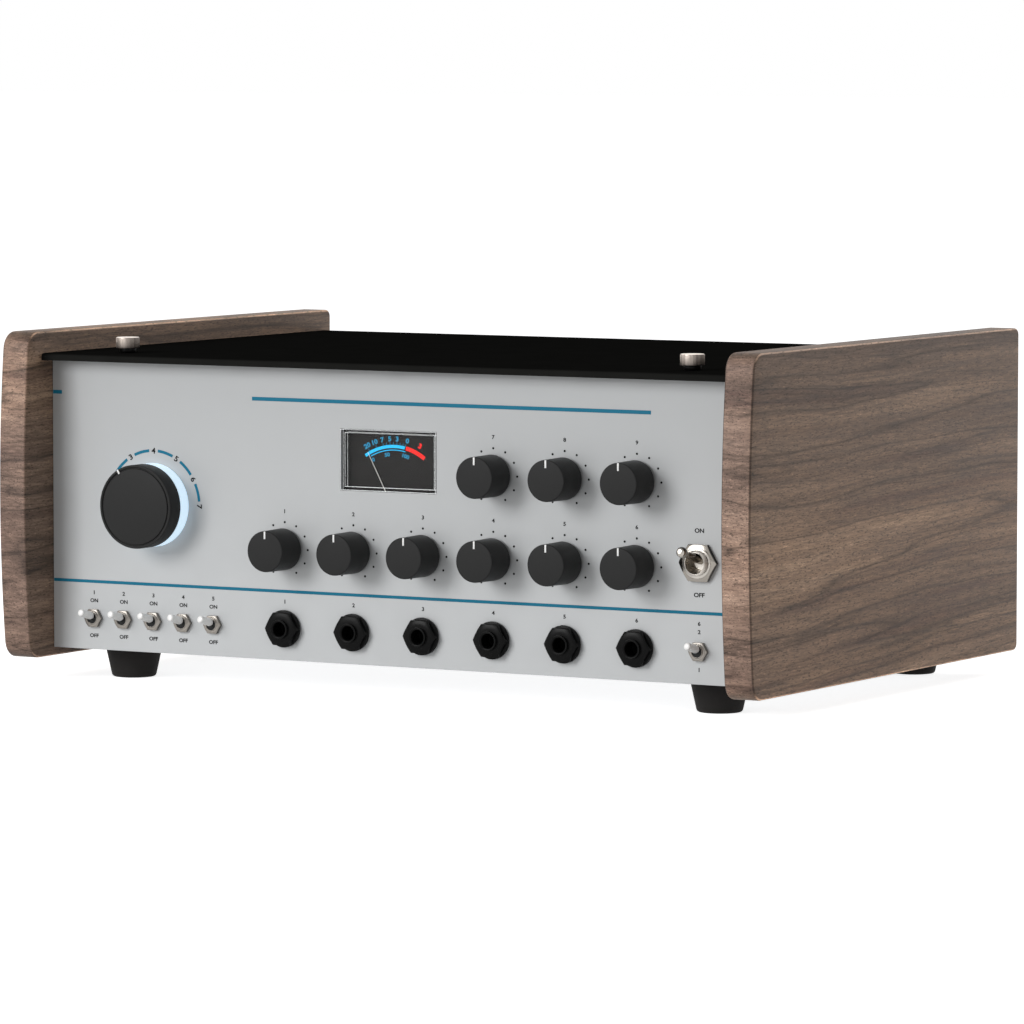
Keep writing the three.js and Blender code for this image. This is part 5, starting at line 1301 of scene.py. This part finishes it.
quarter = math.pi / 2
tape_points = arc((guide_x, line_y + guide_radius), guide_radius, -quarter, 0, 12)
tape_points += arc((guide_x, return_y - guide_radius), guide_radius, 0, quarter, 12)
tape_points.append((bin_high.x, return_y))
for fold in range(folds):
    y = return_y - fold * 2 * fold_radius
    leftward = fold % 2 == 0
    start_x, end_x = (right_x, left_x) if leftward else (left_x, right_x)
    for i in range(25):
        x = start_x + (end_x - start_x) * i / 24
        tape_points.append((x, y + swing(x)))
    if fold < folds - 1:
        end = 3 * quarter if leftward else -quarter
        tape_points += arc((end_x, y - fold_radius), fold_radius, quarter, end, 14)[1:-1]
tape_points.append((bin_high.x, line_y))
tape_curve = bpy.data.curves.new("tape_path", "CURVE")
tape_curve.dimensions = "3D"
path = tape_curve.splines.new("POLY")
path.points.add(len(tape_points) - 1)
for point, (x, y) in zip(path.points, tape_points):
    point.co = (x, y, (tape_low.z + tape_high.z) / 2, 1)
path.use_cyclic_u = True
section = {"Width": tape_wide, "Thickness": tape_thick, "Finish": tape_brown}
tape_mesh = grow("tape_ribbon", band_tree, tape_curve, section)
from_mesh("tape_ribbon", tape_mesh, tape_brown, "case", "tape_film", ["tape_loop"])
print("tape points:", len(tape_points))

# %% [markdown]
# ## Transformer
# A ring core is wound with copper and wrapped with overlapping amber tape. The wrap is a ring of
# bands round the core's section, each a little askew, which the first tree sets round the axis.

# %% Transformer
low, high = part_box("transformer")
core = axis_of("transformer", low.z)
core_half = 17
core_tall = 2 * core_half
core_outer, core_inner = 33, 11
base = 0.5
top = core_tall - base
winding = soft([(11.5, base), (32.5, base), (32.5, top), (11.5, top), (11.5, base)], 5, 6)
as_piece("winding_core", turn(winding, core, UP, 96), amber_wrap, "case", "winding_wrap", ["transformer"])


def wrap_band(width, wall=0.35):
    """One turn of wrapping tape round the core's section, askew."""
    half = (core_outer - core_inner) / 2
    corners = [(-half, 0), (-half, -core_half), (half, -core_half), (half, core_half), (-half, core_half),
               (-half, 0)]
    outline = soft(corners, 6, 5)[:-1]
    build = bmesh.new()
    loops = []
    for side, size in ((-1, 1), (1, 1), (1, 1 - wall / half), (-1, 1 - wall / half)):
        spots = [(p.x * size, side * width * (0.5 + 0.02 * p.x / MM) + 0.06 * p.y, p.y * size) for p in outline]
        loops.append([build.verts.new(spot) for spot in spots])
    count = len(outline)
    for k in range(4):
        for i in range(count):
            j = (i + 1) % count
            build.faces.new([loops[k][i], loops[k][j], loops[(k + 1) % 4][j], loops[(k + 1) % 4][i]])
    bmesh.ops.recalc_face_normals(build, faces=build.faces)
    return build


band_count = 46
copies("winding_bands", ring_tree, [near(core, 0, 0, core_half)], wrap_band(1.5 * MM), amber_wrap, "case",
       "winding_wrap", Count=band_count, Radius=(core_outer + core_inner) / 2 * MM,
       Step=2 * math.pi / band_count)
tall = (high.z - low.z) / MM
dish = soft([(0, 26), (8, 26), (12, 34.3), (19, 34.3), (19, 35.5), (11, 35.5), (7, 28), (0, 28)], 0.6)
clamp = turn(dish, core)
turn(soft([(0, 28), (3, 28), (3, tall), (0, tall)], 0.4), core, segments=32, into=clamp)
as_piece("winding_clamp", clamp, zinc_sheet, "case", "winding_wrap")
print("bands in the winding:", band_count)

# %% [markdown]
# ## Main circuit board
# The frame's board is one green solid, so its parts are made again here in their own colours:
# white connectors, black chips with rows of legs, blue capacitors and a finned heat sink.

# %% Main circuit board
board_low, board_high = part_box("main_circuit_board")
board_top = board_low.z + 1.6 * MM
card = block(board_low, (board_high.x, board_high.y, board_top))
as_piece("main_card", card, board_green, "case", "green_board", ["main_circuit_board"])


def row_of(name, build, count, place, pitch, material, slot):
    """Sets a row of parts on the board, from a place in millimetres from its front left corner."""
    first = (board_low.x + place[0] * MM, board_low.y + place[1] * MM, board_top)
    copies(name, row_tree, [first], build, material, "case", slot, Count=count, Step=(pitch * MM, 0, 0))


plug = block(*mm((-8.5, -4, 0), (8.5, 4, 9)), 0.4 * MM)
row_of("board_connectors", plug, 4, (24, 12), 34, connector_white, "green_board")
chip = block(*mm((-3.4, -9, 0.6), (3.4, 9, 3.9)), 0.25 * MM)
row_of("board_chips", chip, 4, (24, 50), 34, case_black, "green_board")
legs = bmesh.new()
for number in range(7):
    y = (number - 3) * 2.54
    for inner, outer in ((-4, -3.4), (3.4, 4)):
        block(*mm((inner, y - 0.25, 0), (outer, y + 0.25, 2.4)), 0, into=legs)
row_of("chip_legs", legs, 4, (24, 50), 34, nickel, "nickel")
can = soft([(0, 0), (7.8, 0), (8, 1.2), (7.6, 2), (8, 2.8), (8, 23.6), (7, 24), (0, 23.7)], 0.5)
row_of("board_capacitors", turn(can, (0, 0, 0), segments=48), 3, (24, 92), 34, capacitor_blue, "green_board")

# %% Heat sink
sink = (board_high.x - 44 * MM, board_high.y - 50 * MM, board_top)
fin = block(*mm((0, 0, 0), (1.6, 38, 22)), 0.15 * MM)
copies("heat_sink_fins", row_tree, [sink], fin, case_black, "case", "turned_steel", Count=5,
       Step=(7.6 * MM, 0, 0))
web = block(near(sink, 0, 19, 0), near(sink, 32, 21, 22))
as_piece("heat_sink_web", web, case_black, "case", "turned_steel")
print("parts on the main board:", 4 + 4 + 3 + 1)

# %% [markdown]
# ## Sizes
# A small helper rounds the corners of a box to six places. The dressed model has to
# stay inside the frame's box.

# %% Sizes
def corners(bounds):
    return [[round(value, 6) for value in corner] for corner in bounds]


bpy.context.view_layer.update()
